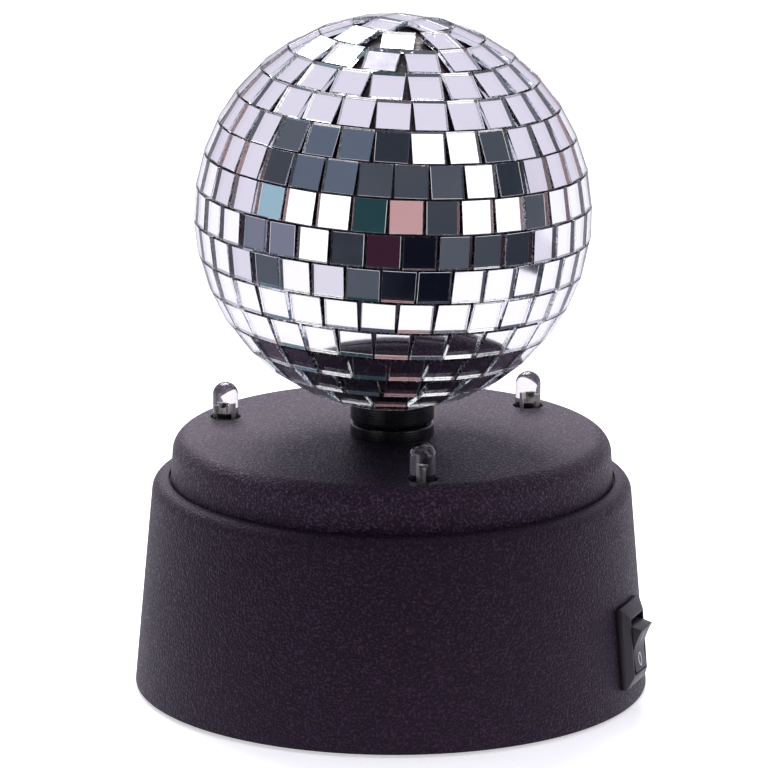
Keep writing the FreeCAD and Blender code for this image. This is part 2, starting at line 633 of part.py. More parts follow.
def led_lead_pair():
    """Both leads of one LED: a slim post and the anvil that carries the reflector cup."""
    z = LED_FLANGE_Z
    half = 0.25
    x = LEAD_PITCH / 2
    foot = z - BOARD_THICKNESS - 1.2
    post = block(-x - half, -x + half, -half, half, foot, z + 5.0)
    post = post.fuse(block(-x - half, -x + 0.7, -half, half, z + 3.6, z + 5.0))
    anvil = block(x - half, x + half, -half, half, foot, z + 3.4)
    table = block(-0.15, x + half, -half, half, z + 3.0, z + 4.4)
    cup = Part.makeCone(0.45, 0.75, 1.1, vec(0.35, 0, z + 4.0)).cut(
        Part.makeCone(0.25, 0.6, 0.8, vec(0.35, 0, z + 4.4)))
    return [post, anvil.fuse([table, cup]).removeSplitter()]


def led_lens():
    z = LED_FLANGE_Z
    dome_z = z + LED_LENGTH - LED_RADIUS
    body = rod(LED_RADIUS + 0.4, z, z + 1.0).fuse([rod(LED_RADIUS, z, dome_z),
                                                 Part.makeSphere(LED_RADIUS, vec(0, 0, dome_z))])
    flat = block(-LED_RADIUS - 1, -LED_RADIUS, -4, 4, z - 1, z + 2)
    return body.cut(flat).cut(Part.makeCompound(led_lead_pair())).removeSplitter()


def led_boards():
    z = LED_FLANGE_Z
    board = rod(5.4, z - BOARD_THICKNESS, z)
    board = board.cut(Part.makeCompound([rod(0.4, z - 3, z + 1, s * LEAD_PITCH / 2) for s in (-1, 1)]))
    return board


def at_led_places(shapes):
    placed = []
    for shape in shapes:
        placed += spaced_round(moved(shape, LED_CIRCLE_RADIUS, 0, 0), 3, LED_FIRST_ANGLE)
    return placed


# ---- rocker switch ------------------------------------------------------------------
ROCKER_WIDTH = 6.4
ROCKER_LENGTH = 10.5         # at its foot; its ends lean in to the shorter face
ROCKER_FACE_LENGTH = 8.6
ROCKER_PIVOT_OUT = -1.0      # pivot height in the switch's frame, where z = 0 is the seat
ROCKER_RISE = 1.1            # rocker's ends stand this far above its middle
PIVOT_RADIUS = 0.75


def switch_body():
    """Body behind the wall and the bevelled bezel in front of it, with the rocker's well."""
    w, h = SWITCH_WIDTH / 2, SWITCH_HEIGHT / 2
    top = SEAT_DEPTH + SWITCH_PROUD
    bezel = block(-w, w, -h, h, 0, top)
    outer_edges = [e for e in bezel.Edges if abs(e.BoundBox.ZMin - top) < 0.01]
    bezel = bezel.makeChamfer(0.7, outer_edges)
    neck_w, neck_h = CUTOUT_WIDTH / 2 - 0.1, CUTOUT_HEIGHT / 2 - 0.1
    body = block(-neck_w, neck_w, -neck_h, neck_h, -9.5, 0)
    side = ROCKER_WIDTH / 2 + 0.25
    end = ROCKER_LENGTH / 2 + 0.25
    well = block(-side, side, -end, end, -5.5, top + 1)
    solid = bezel.fuse(body).cut(well).cut(pivot_pin())
    return on_switch_seat(solid.cut(Part.makeCompound(terminal_tags())).removeSplitter())


def pivot_pin():
    length = CUTOUT_WIDTH - 0.6
    return Part.makeCylinder(PIVOT_RADIUS, length, vec(-length / 2, 0, ROCKER_PIVOT_OUT), X_AXIS)


def switch_pin():
    return on_switch_seat(pivot_pin())


def terminal_tags():
    """Two flat tags that pass through the back of the body, each with a solder hole."""
    tags = [block(-2.0, 2.0, y - 0.4, y + 0.4, -14.5, -6.5) for y in (-4.2, 4.2)]
    hole = Part.makeCylinder(0.6, 20, vec(0, -10, -12.9), Y_AXIS)
    return [tag.cut(hole) for tag in tags]


def rocker_profile():
    """Side outline of the rocker: two flat pads that meet in a shallow valley over the pivot."""
    foot, face = ROCKER_LENGTH / 2, ROCKER_FACE_LENGTH / 2
    valley = SEAT_DEPTH + SWITCH_PROUD + 0.1
    rise = valley + ROCKER_RISE
    return [(-foot, -1.8), (-face, rise), (0, valley), (face, rise), (foot, -1.8), (1.6, -2.8), (-1.6, -2.8)]


def rocker():
    """Rocker at rest with its lower pad pressed in."""
    half_w = ROCKER_WIDTH / 2
    outline = [vec(-half_w, y, z) for y, z in rocker_profile()]
    solid = Part.Face(Part.makePolygon(outline + outline[:1])).extrude(vec(ROCKER_WIDTH, 0, 0))
    bore = Part.makeCylinder(PIVOT_RADIUS + RUNNING_CLEARANCE, 20, vec(-10, 0, ROCKER_PIVOT_OUT), X_AXIS)
    pivot = vec(0, 0, ROCKER_PIVOT_OUT)
    return on_switch_seat(turned(solid.cut(bore), ROCKER_TILT_DEG, centre=pivot, axis=X_AXIS))


def switch_terminals():
    return [on_switch_seat(tag) for tag in terminal_tags()]


# ---- wiring -------------------------------------------------------------------------
WIRE_RADIUS = 0.55
LED_WIRE_RADIUS = 0.45
LED_WIRE_CIRCLE = 33.2


def motor_wires():
    """One wire round to the switch's upper terminal, one down to the battery tray's end."""
    live = wire_run([(MOTOR_X, 8.3, 21.9), (MOTOR_X, 19, 21.9), (2, 24, 24), (21, 15, 23.5),
                     (28.5, -1, 21), (29.5, -10.6, 17.6)], WIRE_RADIUS)
    neutral = wire_run([(MOTOR_X, -8.3, 21.9), (MOTOR_X, -19, 21.9), (-12, -30.5, 20.5),
                        (-10, -34.5, 14), (-8, -29.6, 9)], WIRE_RADIUS)
    return [live, neutral]


def battery_wires():
    """From the tray's end round to the switch's lower terminal."""
    return wire_run([(10, -29.4, 13), (13, -35, 13), (24, -33, 12), (30, -23, 10),
                     (29.4, -10.9, 9.6)], WIRE_RADIUS)


def led_wires():
    """Two parallel wires, one above the other, that link the three LED boards."""
    spans = []
    for z in (44.4, 43.3):
        section = Part.Face(Part.Wire(Part.makeCircle(LED_WIRE_RADIUS, vec(LED_WIRE_CIRCLE, 0, z), Y_AXIS)))
        span = section.revolve(ORIGIN, Z_AXIS, 119.0)
        spans += [turned(span, LED_FIRST_ANGLE + 0.5), turned(span, LED_FIRST_ANGLE + 120.5)]
    return spans


def led_resistor():
    """Series resistor hanging beside the last LED board, its leads along the wires' circle."""
    x, y = at_polar(LED_WIRE_CIRCLE, LED_FIRST_ANGLE + 255)
    body = Part.makeCylinder(1.1, 5.6, vec(0, -2.8, 0), Y_AXIS)
    lead = Part.makeCylinder(0.3, 14.0, vec(0, -7.0, 0), Y_AXIS)
    return moved(turned(body.fuse(lead), LED_FIRST_ANGLE + 255), x, y, 44.4)


def write_parts():
    for ring in range(len(RING_TILES)):
        save(f"mirror_ring_{ring + 1:02d}", *tile_ring(ring))
    save("mirror_pole_tile", *pole_tile())
    save("core_upper", core_upper())
    save("core_lower", core_lower())
    save("ball_collar", ball_collar())
    save("axle", axle())
    save("output_gear", output_gear())
    save("compound_gear_low", compound_gear(37.2, 41.6, 0))
    save("compound_gear_high", compound_gear(39.3, 43.7, SHAFT_B_X))
    save("motor_pinion", pinion(37.0, 39.1, MOTOR_X).cut(rod(1.0, 36, 40, MOTOR_X)))
    save("motor_shaft", rod(1.0, CASE_FLOOR_Z - MOTOR_HEIGHT - 0.2, 39.4, MOTOR_X))
    save("gear_pins", rod(PIN_RADIUS, CASE_FLOOR_Z, 43.1), rod(PIN_RADIUS, CASE_FLOOR_Z, 46.8, SHAFT_B_X))
    save("gearbox_case", gearbox_case())
    save("gearbox_lid", gearbox_lid())
    save("gearbox_screws", *gearbox_screws())
    save("motor_can", motor_can())
    save("motor_end_cap", motor_end_cap())
    save("motor_terminals", *motor_terminals())
    save("motor_magnet", motor_magnet())
    save("motor_armature", motor_armature())
    save("motor_screws", *motor_screws())
    save("base_housing", base_housing())
    save("top_cover", top_cover())
    save("neck_ring", neck_ring())
    save("axle_bush", axle_bush())
    save("cover_screws", *cover_screws())
    save("plate_screws", *plate_screws())
    save("bottom_plate", bottom_plate())
    save("battery_door", battery_door())
    save("door_latch", door_latch())
    save("battery_cells", *battery_cells())
    save("contact_plates", *contact_plates())
    save("contact_springs", *contact_springs())
    save("rubber_feet", *rubber_feet())
    save("led_lenses", *at_led_places([led_lens()]))
    save("led_leads", *at_led_places(led_lead_pair()))
    save("led_boards", *at_led_places([led_boards()]))
    save("switch_body", switch_body())
    save("switch_pin", switch_pin())
    save("switch_rocker", rocker())
    save("switch_terminals", *switch_terminals())
    save("motor_wires", *motor_wires())
    save("battery_wires", battery_wires())
    save("led_wires", *led_wires())
    save("led_resistor", led_resistor())


os.makedirs("parts", exist_ok=True)
write_parts()
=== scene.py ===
import json
import math

import bmesh
import bpy
from mathutils import Matrix, Vector


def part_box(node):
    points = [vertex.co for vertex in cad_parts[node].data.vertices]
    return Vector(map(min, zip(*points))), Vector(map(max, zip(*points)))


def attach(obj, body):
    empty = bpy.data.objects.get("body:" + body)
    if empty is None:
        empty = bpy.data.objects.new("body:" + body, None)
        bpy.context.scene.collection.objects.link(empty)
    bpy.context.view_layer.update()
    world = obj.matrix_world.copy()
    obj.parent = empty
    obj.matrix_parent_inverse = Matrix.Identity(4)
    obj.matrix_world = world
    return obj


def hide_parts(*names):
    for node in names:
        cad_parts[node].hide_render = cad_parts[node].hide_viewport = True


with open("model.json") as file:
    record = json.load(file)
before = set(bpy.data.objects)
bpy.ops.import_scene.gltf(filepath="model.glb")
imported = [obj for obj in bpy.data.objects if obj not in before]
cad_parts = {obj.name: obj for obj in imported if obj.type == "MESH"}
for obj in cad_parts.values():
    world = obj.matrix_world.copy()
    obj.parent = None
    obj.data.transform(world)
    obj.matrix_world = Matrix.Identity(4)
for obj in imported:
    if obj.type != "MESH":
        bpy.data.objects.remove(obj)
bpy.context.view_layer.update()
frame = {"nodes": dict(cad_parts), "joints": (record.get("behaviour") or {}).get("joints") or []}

# ---- Camera ---------------------------------------------------------------------------
# A long lens a metre in front of the object and a little above the ball, so that
# the top of the base shows as a flat ellipse under the ball.
CAMERA_PLACE = (0, -1.0396, 0.3200)
CAMERA_DOWN = math.radians(14.06)
CAMERA_ROLL = math.radians(0.29)
CAMERA_LENS_MM = 260.6
CAMERA_SHIFT = -0.0108

camera_data = bpy.data.cameras.new("camera")
camera_data.lens = CAMERA_LENS_MM
camera_data.sensor_width = 36
camera_data.shift_x = CAMERA_SHIFT
camera_data.clip_start = 0.05
camera_data.clip_end = 30
camera = bpy.data.objects.new("camera", camera_data)
bpy.context.scene.collection.objects.link(camera)
camera.matrix_world = (Matrix.Translation(CAMERA_PLACE)
                       @ Matrix.Rotation(math.pi / 2 - CAMERA_DOWN, 4, "X")
                       @ Matrix.Rotation(CAMERA_ROLL, 4, "Z"))
bpy.context.scene.camera = camera
bpy.context.scene.view_settings.view_transform = "Standard"


# ---- Floor ----------------------------------------------------------------------------
# A white paper table top. Its shader is the first one here, so the class that writes
# shader maths as expressions is defined with it.
class Value:
    """A node socket in a shader: + - * / on it add the Math nodes that work them out."""

    def __init__(self, tree, socket):
        self.tree = tree
        self.socket = socket

    def node(self, kind, settings=None, sockets=None, output=0):
        """Add a node: its settings first, then the values or links of its sockets."""
        made = self.tree.nodes.new("ShaderNode" + kind)
        for name, setting in (settings or {}).items():
            if name == "stops":
                self.set_stops(made.color_ramp, setting)
            else:
                setattr(made, name, setting)
        for name, value in (sockets or {}).items():
            if isinstance(value, Value):
                self.tree.links.new(value.socket, made.inputs[name])
            else:
                made.inputs[name].default_value = value
        return Value(self.tree, made.outputs[output])

    @staticmethod
    def set_stops(ramp, stops):
        while len(ramp.elements) < len(stops):
            ramp.elements.new(1.0)
        for element, (position, level) in zip(ramp.elements, stops):
            element.position = position
            element.color = (level, level, level, 1)

    def math(self, operation, first, second=0.0, clamp=False):
        return self.node("Math", {"operation": operation, "use_clamp": clamp}, {0: first, 1: second})

    def __add__(self, other):
        return self.math("ADD", self, other)

    def __radd__(self, other):
        return self.math("ADD", other, self)

    def __sub__(self, other):
        return self.math("SUBTRACT", self, other)

    def __rsub__(self, other):
        return self.math("SUBTRACT", other, self)

    def __mul__(self, other):
        return self.math("MULTIPLY", self, other)

    def __rmul__(self, other):
        return self.math("MULTIPLY", other, self)

    def __truediv__(self, other):
        return self.math("DIVIDE", self, other)

    def ramp(self, *stops):
        return self.node("ValToRGB", {"stops": stops}, {0: self})

    def mix(self, low, high):
        """The colour low where this value is 0 and high where it is 1."""
        return self.node("Mix", {"data_type": "RGBA"}, {0: self, 6: low, 7: high}, output=2)

    def noise(self, size, detail=2.0):
        """Cloudy pattern on these coordinates, with lumps of that size in metres."""
        return self.node("TexNoise", {}, {"Vector": self, "Scale": 1 / size, "Detail": detail})

    def cells(self, size):
        return self.node("TexVoronoi", {}, {"Vector": self, "Scale": 1 / size})

    def bump(self, depth, strength=1.0):
        return self.node("Bump", {}, {"Height": self, "Distance": depth, "Strength": strength})

    def axis(self, letter):
        return self.node("SeparateXYZ", {}, {0: self}, output="XYZ".index(letter))


def material(name, look, **constants):
    """A finish: constants go on the shader's own sockets, and look gives what varies."""
    made = bpy.data.materials.new(name)
    made.use_nodes = True
    tree = made.node_tree
    shader = tree.nodes["Principled BSDF"]
    for socket, value in constants.items():
        shader.inputs[socket.replace("_", " ")].default_value = value
    place = Value(tree, tree.nodes.new("ShaderNodeTexCoord").outputs["Object"])
    for socket, value in look(place).items():
        tree.links.new(value.socket, shader.inputs[socket])
    return made


def paper_look(place):
    fibre = place.noise(0.0015, 4)
    cloud = place.noise(0.25)
    return {"Base Color": cloud.mix((0.93, 0.93, 0.94, 1), (0.97, 0.97, 0.975, 1)),
            "Roughness": 0.7 + 0.1 * cloud,
            "Normal": fibre.bump(0.0001, 0.2)}


def flat_sheet(name, corners, height):
    """One flat face per list of four (x, y) corners."""
    mesh = bpy.data.meshes.new(name)
    points = [(x, y, height) for face in corners for x, y in face]
    mesh.from_pydata(points, [], [range(i, i + 4) for i in range(0, len(points), 4)])
    sheet = bpy.data.objects.new(name, mesh)
    bpy.context.scene.collection.objects.link(sheet)
    return sheet


def rectangle(x0, x1, y0, y1):
    return [(x0, y0), (x1, y0), (x1, y1), (x0, y1)]


FLOOR_REACH = 4.0
TABLE_FRONT = -0.135
TABLE_SIDE = 0.185
TABLE_BACK = 0.04
PAPER_GLOW = 0.50
floor = flat_sheet("floor", [rectangle(-FLOOR_REACH, FLOOR_REACH, -FLOOR_REACH, FLOOR_REACH)], 0)
floor.data.materials.append(material("lit_paper", paper_look, Emission_Strength=PAPER_GLOW,
                                     Emission_Color=(1, 1, 1, 1)))
floor.visible_glossy = False
floor.visible_transmission = False

# The table has an end: past its front and side edges the mirrors see down into the room.
table = flat_sheet("table_top", [
    rectangle(-TABLE_SIDE, TABLE_SIDE, TABLE_FRONT, TABLE_BACK),
    rectangle(-FLOOR_REACH, FLOOR_REACH, TABLE_BACK, FLOOR_REACH)], 0)
table.data.materials.append(material("table_paper", paper_look))
table.visible_camera = False
table.visible_diffuse = False
table.visible_shadow = False

# ---- Studio light ---------------------------------------------------------------------
# White surroundings with a dark room in front, and soft boxes and their reflectors standing
# in it. The mirrors show each of these as whole tiles of white, grey or near black.
WHITE_WALL = (0.80, 0.76, 0.90, 1)
ROOM_DARK = (0.030, 0.036, 0.052, 1)
ROOM_GREY = (0.105, 0.118, 0.150, 1)
BLUE_GREY = (0.118, 0.140, 0.200, 1)
NEAR_BLACK = (0.005, 0.006, 0.013, 1)
SOFT_BOX = (1.5, 1.47, 1.53, 1)
BOUNCE_CARD = (0.80, 0.76, 0.88, 1)
GREY_CARD = (0.20, 0.21, 0.29, 1)
MAROON_CLOTH = (0.042, 0.014, 0.030, 1)
PINK_CLOTH = (0.58, 0.34, 0.35, 1)
PALE_BLUE_CLOTH = (0.34, 0.50, 0.62, 1)
TEAL_CLOTH = (0.020, 0.055, 0.065, 1)
ROOM_LUMPS = 0.17
EDGE_SOFTNESS = 2.5

world = bpy.data.worlds.new("studio")
world.use_nodes = True
bpy.context.scene.world = world
world_tree = world.node_tree
world_tree.nodes.clear()
toward = Value(world_tree, world_tree.nodes.new("ShaderNodeTexCoord").outputs["Object"])
bearing = toward.math("ARCTAN2", toward.axis("X"), toward.axis("Y") * -1.0) * math.degrees(1)
height = toward.math("ARCSINE", toward.axis("Z")) * math.degrees(1)


def between(value, low, high):
    rise = value.math("ADD", (value - low) / EDGE_SOFTNESS, 0.5, clamp=True)
    fall = value.math("ADD", (high - value) / EDGE_SOFTNESS, 0.5, clamp=True)
    return rise * fall


def patch(left, right, low, high):
    """Part of the surroundings: bearings from the front, towards +X, and heights, in degrees."""
    return between(bearing, left, right) * between(height, low, high)


unlit = toward.noise(ROOM_LUMPS, 1).ramp((0.36, 0.0), (0.64, 1.0)).mix(ROOM_DARK, ROOM_GREY)
light = patch(-92, 97, -41, 54).mix(WHITE_WALL, unlit)
light = patch(-70, -22, 21, 54).mix(light, BLUE_GREY)
light = patch(1, 31, -41, 0).mix(light, NEAR_BLACK)
light = patch(-15, 1, -20, 0).mix(light, MAROON_CLOTH)
light = patch(-96, -60, -17, 0).mix(light, GREY_CARD)
light = patch(-60, -29, -20, 17).mix(light, SOFT_BOX)
light = patch(-74, -28, -41, -20).mix(light, BOUNCE_CARD)
light = patch(41, 77, -3, 14).mix(light, SOFT_BOX)
light = patch(44, 68, 14, 34).mix(light, SOFT_BOX)
light = patch(18, 67, 36, 54).mix(light, SOFT_BOX)
light = patch(38, 78, -41, -23).mix(light, BOUNCE_CARD)
light = patch(-1, 18, 2, 17).mix(light, PINK_CLOTH)
light = patch(-86, -66, 1, 15).mix(light, PALE_BLUE_CLOTH)
light = patch(-22, -5, 3, 17).mix(light, TEAL_CLOTH)
is_camera_ray = toward.node("LightPath", output=0)
seen = is_camera_ray.mix(light, (1, 1, 1, 1))
background = toward.node("Background", {}, {"Color": seen, "Strength": 1.0})
world_output = world_tree.nodes.new("ShaderNodeOutputWorld")
world_tree.links.new(background.socket, world_output.inputs["Surface"])

LAMP_PLACE = Vector((-0.15, 0.80, 1.05))
LAMP_TARGET = Vector((0, 0, 0.05))
LAMP_SIZE = 0.9
LAMP_POWER = 16.0
lamp = bpy.data.lights.new("overhead", "AREA")
lamp.shape = "DISK"
lamp.size = LAMP_SIZE
lamp.energy = LAMP_POWER
overhead = bpy.data.objects.new("overhead", lamp)
bpy.context.scene.collection.objects.link(overhead)
aim = (LAMP_TARGET - LAMP_PLACE).to_track_quat("-Z", "Y")
overhead.matrix_world = Matrix.Translation(LAMP_PLACE) @ aim.to_matrix().to_4x4()

# ---- Base housing ---------------------------------------------------------------------
# A tapered drum of black ABS, injection moulded in a spark-eroded tool, so that its outside
# has a fine hard grain. It ends in a rounded shoulder and the ledge where the cover sits.
MM = 0.001
AROUND = 224


def rounded_outline(corners, steps):
    """Closed (radius, height) outline from (radius, height, rounding) corners."""
    points = []
    for i, (radius, height, rounding) in enumerate(corners):
        corner = Vector((radius, height))
        if not rounding:
            points.append(corner)
            continue
        before = (Vector(corners[i - 1][:2]) - corner).normalized()
        after = (Vector(corners[(i + 1) % len(corners)][:2]) - corner).normalized()
        half = before.angle(after) / 2
        centre = corner + (before + after).normalized() * (rounding / math.sin(half))
        start = corner + before * (rounding / math.tan(half)) - centre
        end = corner + after * (rounding / math.tan(half)) - centre
        sweep = math.copysign(math.pi - 2 * half, start.cross(end))
        first = math.atan2(start.y, start.x)
        for step in range(steps + 1):
            angle = first + sweep * step / steps
            points.append(centre + rounding * Vector((math.cos(angle), math.sin(angle))))
    return points


def lathe_mesh(corners, steps=8, around=AROUND, centre=(0, 0)):
    """bmesh of a turned solid; corners are in metres and a radius of 0 closes on the axis."""
    shape = bmesh.new()
    rings = []
    for radius, height in rounded_outline(corners, steps):
        count = around if radius > 1e-7 else 1
        ring = []
        for k in range(count):
            angle = 2 * math.pi * k / count
            x = centre[0] + radius * math.cos(angle)
            y = centre[1] + radius * math.sin(angle)
            ring.append(shape.verts.new((x, y, height)))
        rings.append(ring * (around // count))
    for ring, following in zip(rings, rings[1:] + rings[:1]):
        for k in range(around):
            face = dict.fromkeys([ring[k], ring[k - 1], following[k - 1], following[k]])
            if len(face) > 2:
                shape.faces.new(face)
    bmesh.ops.recalc_face_normals(shape, faces=shape.faces)
    return shape


def piece(name, shape, finish, smooth_degrees=35):
    """Object from a bmesh, with its place in its mesh and smooth where it turns gently."""
    mesh = bpy.data.meshes.new(name)
    shape.to_mesh(mesh)
    shape.free()
    return piece_of_mesh(name, mesh, finish, smooth_degrees)


def piece_of_mesh(name, mesh, finish, smooth_degrees=35):
    mesh.shade_smooth()
    mesh.set_sharp_from_angle(angle=math.radians(smooth_degrees))
    made = bpy.data.objects.new(name, mesh)
    bpy.context.scene.collection.objects.link(made)
    if finish:
        mesh.materials.clear()
        mesh.materials.append(finish)
    return made


def carve(name, body, cutters, finish):
    """The body less the cutters, as one new piece."""
    for number, cutter in enumerate(cutters):
        modifier = body.modifiers.new(f"cut_{number}", "BOOLEAN")
        modifier.object = cutter
        modifier.operation = "DIFFERENCE"
        modifier.solver = "EXACT"
    ready = body.evaluated_get(bpy.context.evaluated_depsgraph_get())
    mesh = bpy.data.meshes.new_from_object(ready)
    for part in [body] + list(cutters):
        bpy.data.objects.remove(part)
    mesh.name = name
    return piece_of_mesh(name, mesh, finish)


def fit(made, body, slot, *nodes):
    """The piece moves with a body and stands for CAD nodes, which are hidden; the slot is not used."""
    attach(made, body)
    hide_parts(*nodes)


def box_mesh(x0, x1, y0, y1, z0, z1, bevel=0.0):
    shape = bmesh.new()
    bmesh.ops.create_cube(shape, size=1)
    size = Vector((x1 - x0, y1 - y0, z1 - z0))
    middle = Vector((x0 + x1, y0 + y1, z0 + z1)) / 2
    bmesh.ops.scale(shape, vec=size, verts=shape.verts)
    bmesh.ops.translate(shape, vec=middle, verts=shape.verts)
    if bevel:
        bmesh.ops.bevel(shape, geom=shape.edges, offset=bevel, segments=1, affect="EDGES", profile=0.5)
    return shape


def grained_look(place, crest_glint_colour=(0.027, 0.016, 0.035, 1)):
    lumps = place.noise(0.46 * MM, 1)
    wear = place.noise(16 * MM, 3)
    tint = wear.mix((0.0022, 0.0011, 0.0030, 1), (0.0040, 0.0024, 0.0052, 1))
    crest = lumps.ramp((0.50, 0.0), (0.76, 1.0))
    # The grain crests are painted lighter in colour, a painted glint where the peaks of the grain catch
    # the light. The grain bumps and the smoother crests are real.
    return {"Base Color": crest.mix(tint, crest_glint_colour),
            "Roughness": 0.50 + 0.08 * wear - 0.26 * crest,
            "Normal": lumps.bump(0.34 * MM, 1.0)}


GRAIN_SHEEN = (0.92, 0.66, 1.0, 1)
grained = material("grained_black", grained_look, Specular_IOR_Level=0.27,
                   Specular_Tint=GRAIN_SHEEN)

DRUM_TAPER = 3.6 * MM
HOUSING_WALL = 2.0 * MM
RECESS_DEPTH = 0.8 * MM
COVER_GAP = 0.25 * MM
FLANGE_BORE = 40.2 * MM
BEZEL_FIT = 0.15 * MM
BEZEL_HALF_WIDTH = 5.5 * MM
BEZEL_HALF_HEIGHT = 8.0 * MM
BODY_FIT = 0.1 * MM
BODY_HALF_WIDTH = 4.2 * MM
BODY_HALF_HEIGHT = 6.7 * MM
CUT_OUT = 4 * MM
CUT_IN = -6 * MM
CUT_OVERLAP = 1 * MM

housing_low, housing_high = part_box("base_housing")
cover_low, cover_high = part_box("top_cover")
foot_radius = housing_high.y
ledge_z = housing_high.z
shoulder_radius = foot_radius - DRUM_TAPER
flange_z = cover_low.z
cover_radius = cover_high.y
recess_radius = cover_radius + COVER_GAP
seat_z = ledge_z - RECESS_DEPTH
slope = (foot_radius - shoulder_radius) / (ledge_z - housing_low.z)
under_flange_radius = foot_radius - slope * (flange_z - housing_low.z) - HOUSING_WALL

switch_joint = next(j for j in frame["joints"] if j["name"] == "rocker_tilt")
switch_across = Vector(switch_joint["axis"])
switch_lean = math.atan(slope)
switch_out = Vector((switch_across.y, -switch_across.x, math.tan(switch_lean))).normalized()
switch_up = switch_out.cross(switch_across)
PIVOT_OUT = -1.0 * MM
switch_seat = Vector(switch_joint["pos_m"]) - PIVOT_OUT * switch_out
switch_turn = Matrix((switch_across, switch_up, switch_out)).transposed().to_4x4()
switch_frame = Matrix.Translation(switch_seat) @ switch_turn

housing_mesh = lathe_mesh([
    (foot_radius, housing_low.z, 0.3 * MM), (shoulder_radius, ledge_z, 2.5 * MM),
    (recess_radius, ledge_z, 0.25 * MM), (recess_radius, seat_z, 0),
    (FLANGE_BORE, seat_z, 0), (FLANGE_BORE, flange_z, 0), (under_flange_radius, flange_z, 0.5 * MM),
    (foot_radius - HOUSING_WALL, housing_low.z, 0.3 * MM)])


def switch_cut(half_width, half_height, low, high):
    return box_mesh(-half_width, half_width, -half_height, half_height, low, high)


seat_cut = switch_cut(BEZEL_HALF_WIDTH + BEZEL_FIT, BEZEL_HALF_HEIGHT + BEZEL_FIT, 0, CUT_OUT)
body_cut = switch_cut(BODY_HALF_WIDTH + BODY_FIT, BODY_HALF_HEIGHT + BODY_FIT, CUT_IN, CUT_OVERLAP)
for cut in (seat_cut, body_cut):
    cut.transform(switch_frame)
housing = carve("base_housing_shell", piece("housing_blank", housing_mesh, None),
                [piece("seat_cut", seat_cut, None), piece("body_cut", body_cut, None)], grained)
fit(housing, "base", "grained_plastic", "base_housing")

# ---- Top cover ------------------------------------------------------------------------
# The lid of the drum, from the same black grained ABS. Three bevelled holes let the LEDs
# stand through it, and the neck ring is pressed in its middle.
LED_HOLE_RADIUS = 2.9 * MM
LED_HOLE_BEVEL = 0.3 * MM
COVER_THICKNESS = 2.2 * MM
NECK_BORE = 6.0 * MM
HOLLOW_RADIUS = 40.3 * MM
RIM_TOP = 42.2 * MM
RIM_OUTER = 40.0 * MM
RIM_INNER = 38.2 * MM
cover_top = cover_high.z
cover_under = cover_top - COVER_THICKNESS

cover_mesh = lathe_mesh([
    (cover_radius, seat_z, 0.15 * MM), (cover_radius - 0.6 * MM, cover_top, 3.5 * MM),
    (NECK_BORE, cover_top, 0), (NECK_BORE, cover_under, 0), (HOLLOW_RADIUS, cover_under, 0.5 * MM),
    (HOLLOW_RADIUS, RIM_TOP, 0), (RIM_INNER, RIM_TOP, 0), (RIM_INNER, flange_z, 0),
    (RIM_OUTER, flange_z, 0.2 * MM), (RIM_OUTER, seat_z, 0)], steps=12)

lens_low, lens_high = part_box("led_lenses")
LED_COUNT = 3
LED_FIRST = math.radians(-80.4)
LED_CIRCLE = 34.7 * MM


def led_place(number):
    angle = LED_FIRST + 2 * math.pi * number / LED_COUNT
    return LED_CIRCLE * math.cos(angle), LED_CIRCLE * math.sin(angle)


hole_cuts = []
for number in range(LED_COUNT):
    hole = lathe_mesh([(0, cover_under - CUT_OVERLAP, 0),
                       (LED_HOLE_RADIUS, cover_under - CUT_OVERLAP, 0),
                       (LED_HOLE_RADIUS, cover_top - LED_HOLE_BEVEL / 2, 0),
                       (LED_HOLE_RADIUS + LED_HOLE_BEVEL, cover_top + LED_HOLE_BEVEL / 2, 0),
                       (0, cover_top + LED_HOLE_BEVEL / 2, 0)], around=64, centre=led_place(number))
    hole_cuts.append(piece(f"hole_{number}", hole, None))


# Painted light: the cover is a lit copy of the drum's grained black. Its grain crests are painted about
# twice as light and its specular level is higher, so its top reads lighter, as where more light falls on
# it.
def cover_lit_look(place):
    return grained_look(place, crest_glint_colour=(0.052, 0.034, 0.065, 1))


cover_lit_grained = material("cover_lit_grained", cover_lit_look, Specular_IOR_Level=0.36,
                         Specular_Tint=GRAIN_SHEEN)
cover = carve("top_cover_shell", piece("cover_blank", cover_mesh, None), hole_cuts, cover_lit_grained)
fit(cover, "base", "grained_plastic", "top_cover")

# ---- Neck ring and axle bush ----------------------------------------------------------
# The fixed black ring round the axle, polished in its tool and so glossier than the cover,
# with the pale acetal bush that the axle runs in.
TOOL_MARK_PITCH = 0.55 * MM


def neck_look(place):
    turned = place.math("SINE", place.axis("Z") * (2 * math.pi / TOOL_MARK_PITCH))
    smear = place.noise(3 * MM, 3)
    return {"Base Color": smear.mix((0.006, 0.0055, 0.007, 1), (0.012, 0.011, 0.014, 1)),
            "Roughness": 0.20 + 0.14 * smear,
            "Normal": turned.bump(0.012 * MM, 0.5)}


neck_black = material("neck_black", neck_look, Specular_IOR_Level=0.45)
ring_low, ring_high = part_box("neck_ring")
neck_radius = ring_high.x
bush_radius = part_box("axle_bush")[1].x
neck_ring = piece("neck_ring_moulding", lathe_mesh([
    (bush_radius, ring_low.z, 0.1 * MM), (NECK_BORE, ring_low.z, 0.3 * MM), (NECK_BORE, cover_top, 0),
    (neck_radius, cover_top, 0.15 * MM), (neck_radius, ring_high.z, 0.45 * MM),
    (bush_radius, ring_high.z, 0.1 * MM)], around=128), neck_black)
fit(neck_ring, "base", "neck_plastic", "neck_ring")


def acetal_look(place):
    flow = place.noise(6 * MM, 2)
    return {"Base Color": flow.mix((0.78, 0.78, 0.74, 1), (0.86, 0.86, 0.83, 1)),
            "Roughness": 0.32 + 0.12 * flow,
            "Normal": place.noise(0.4 * MM).bump(0.01 * MM, 0.5)}


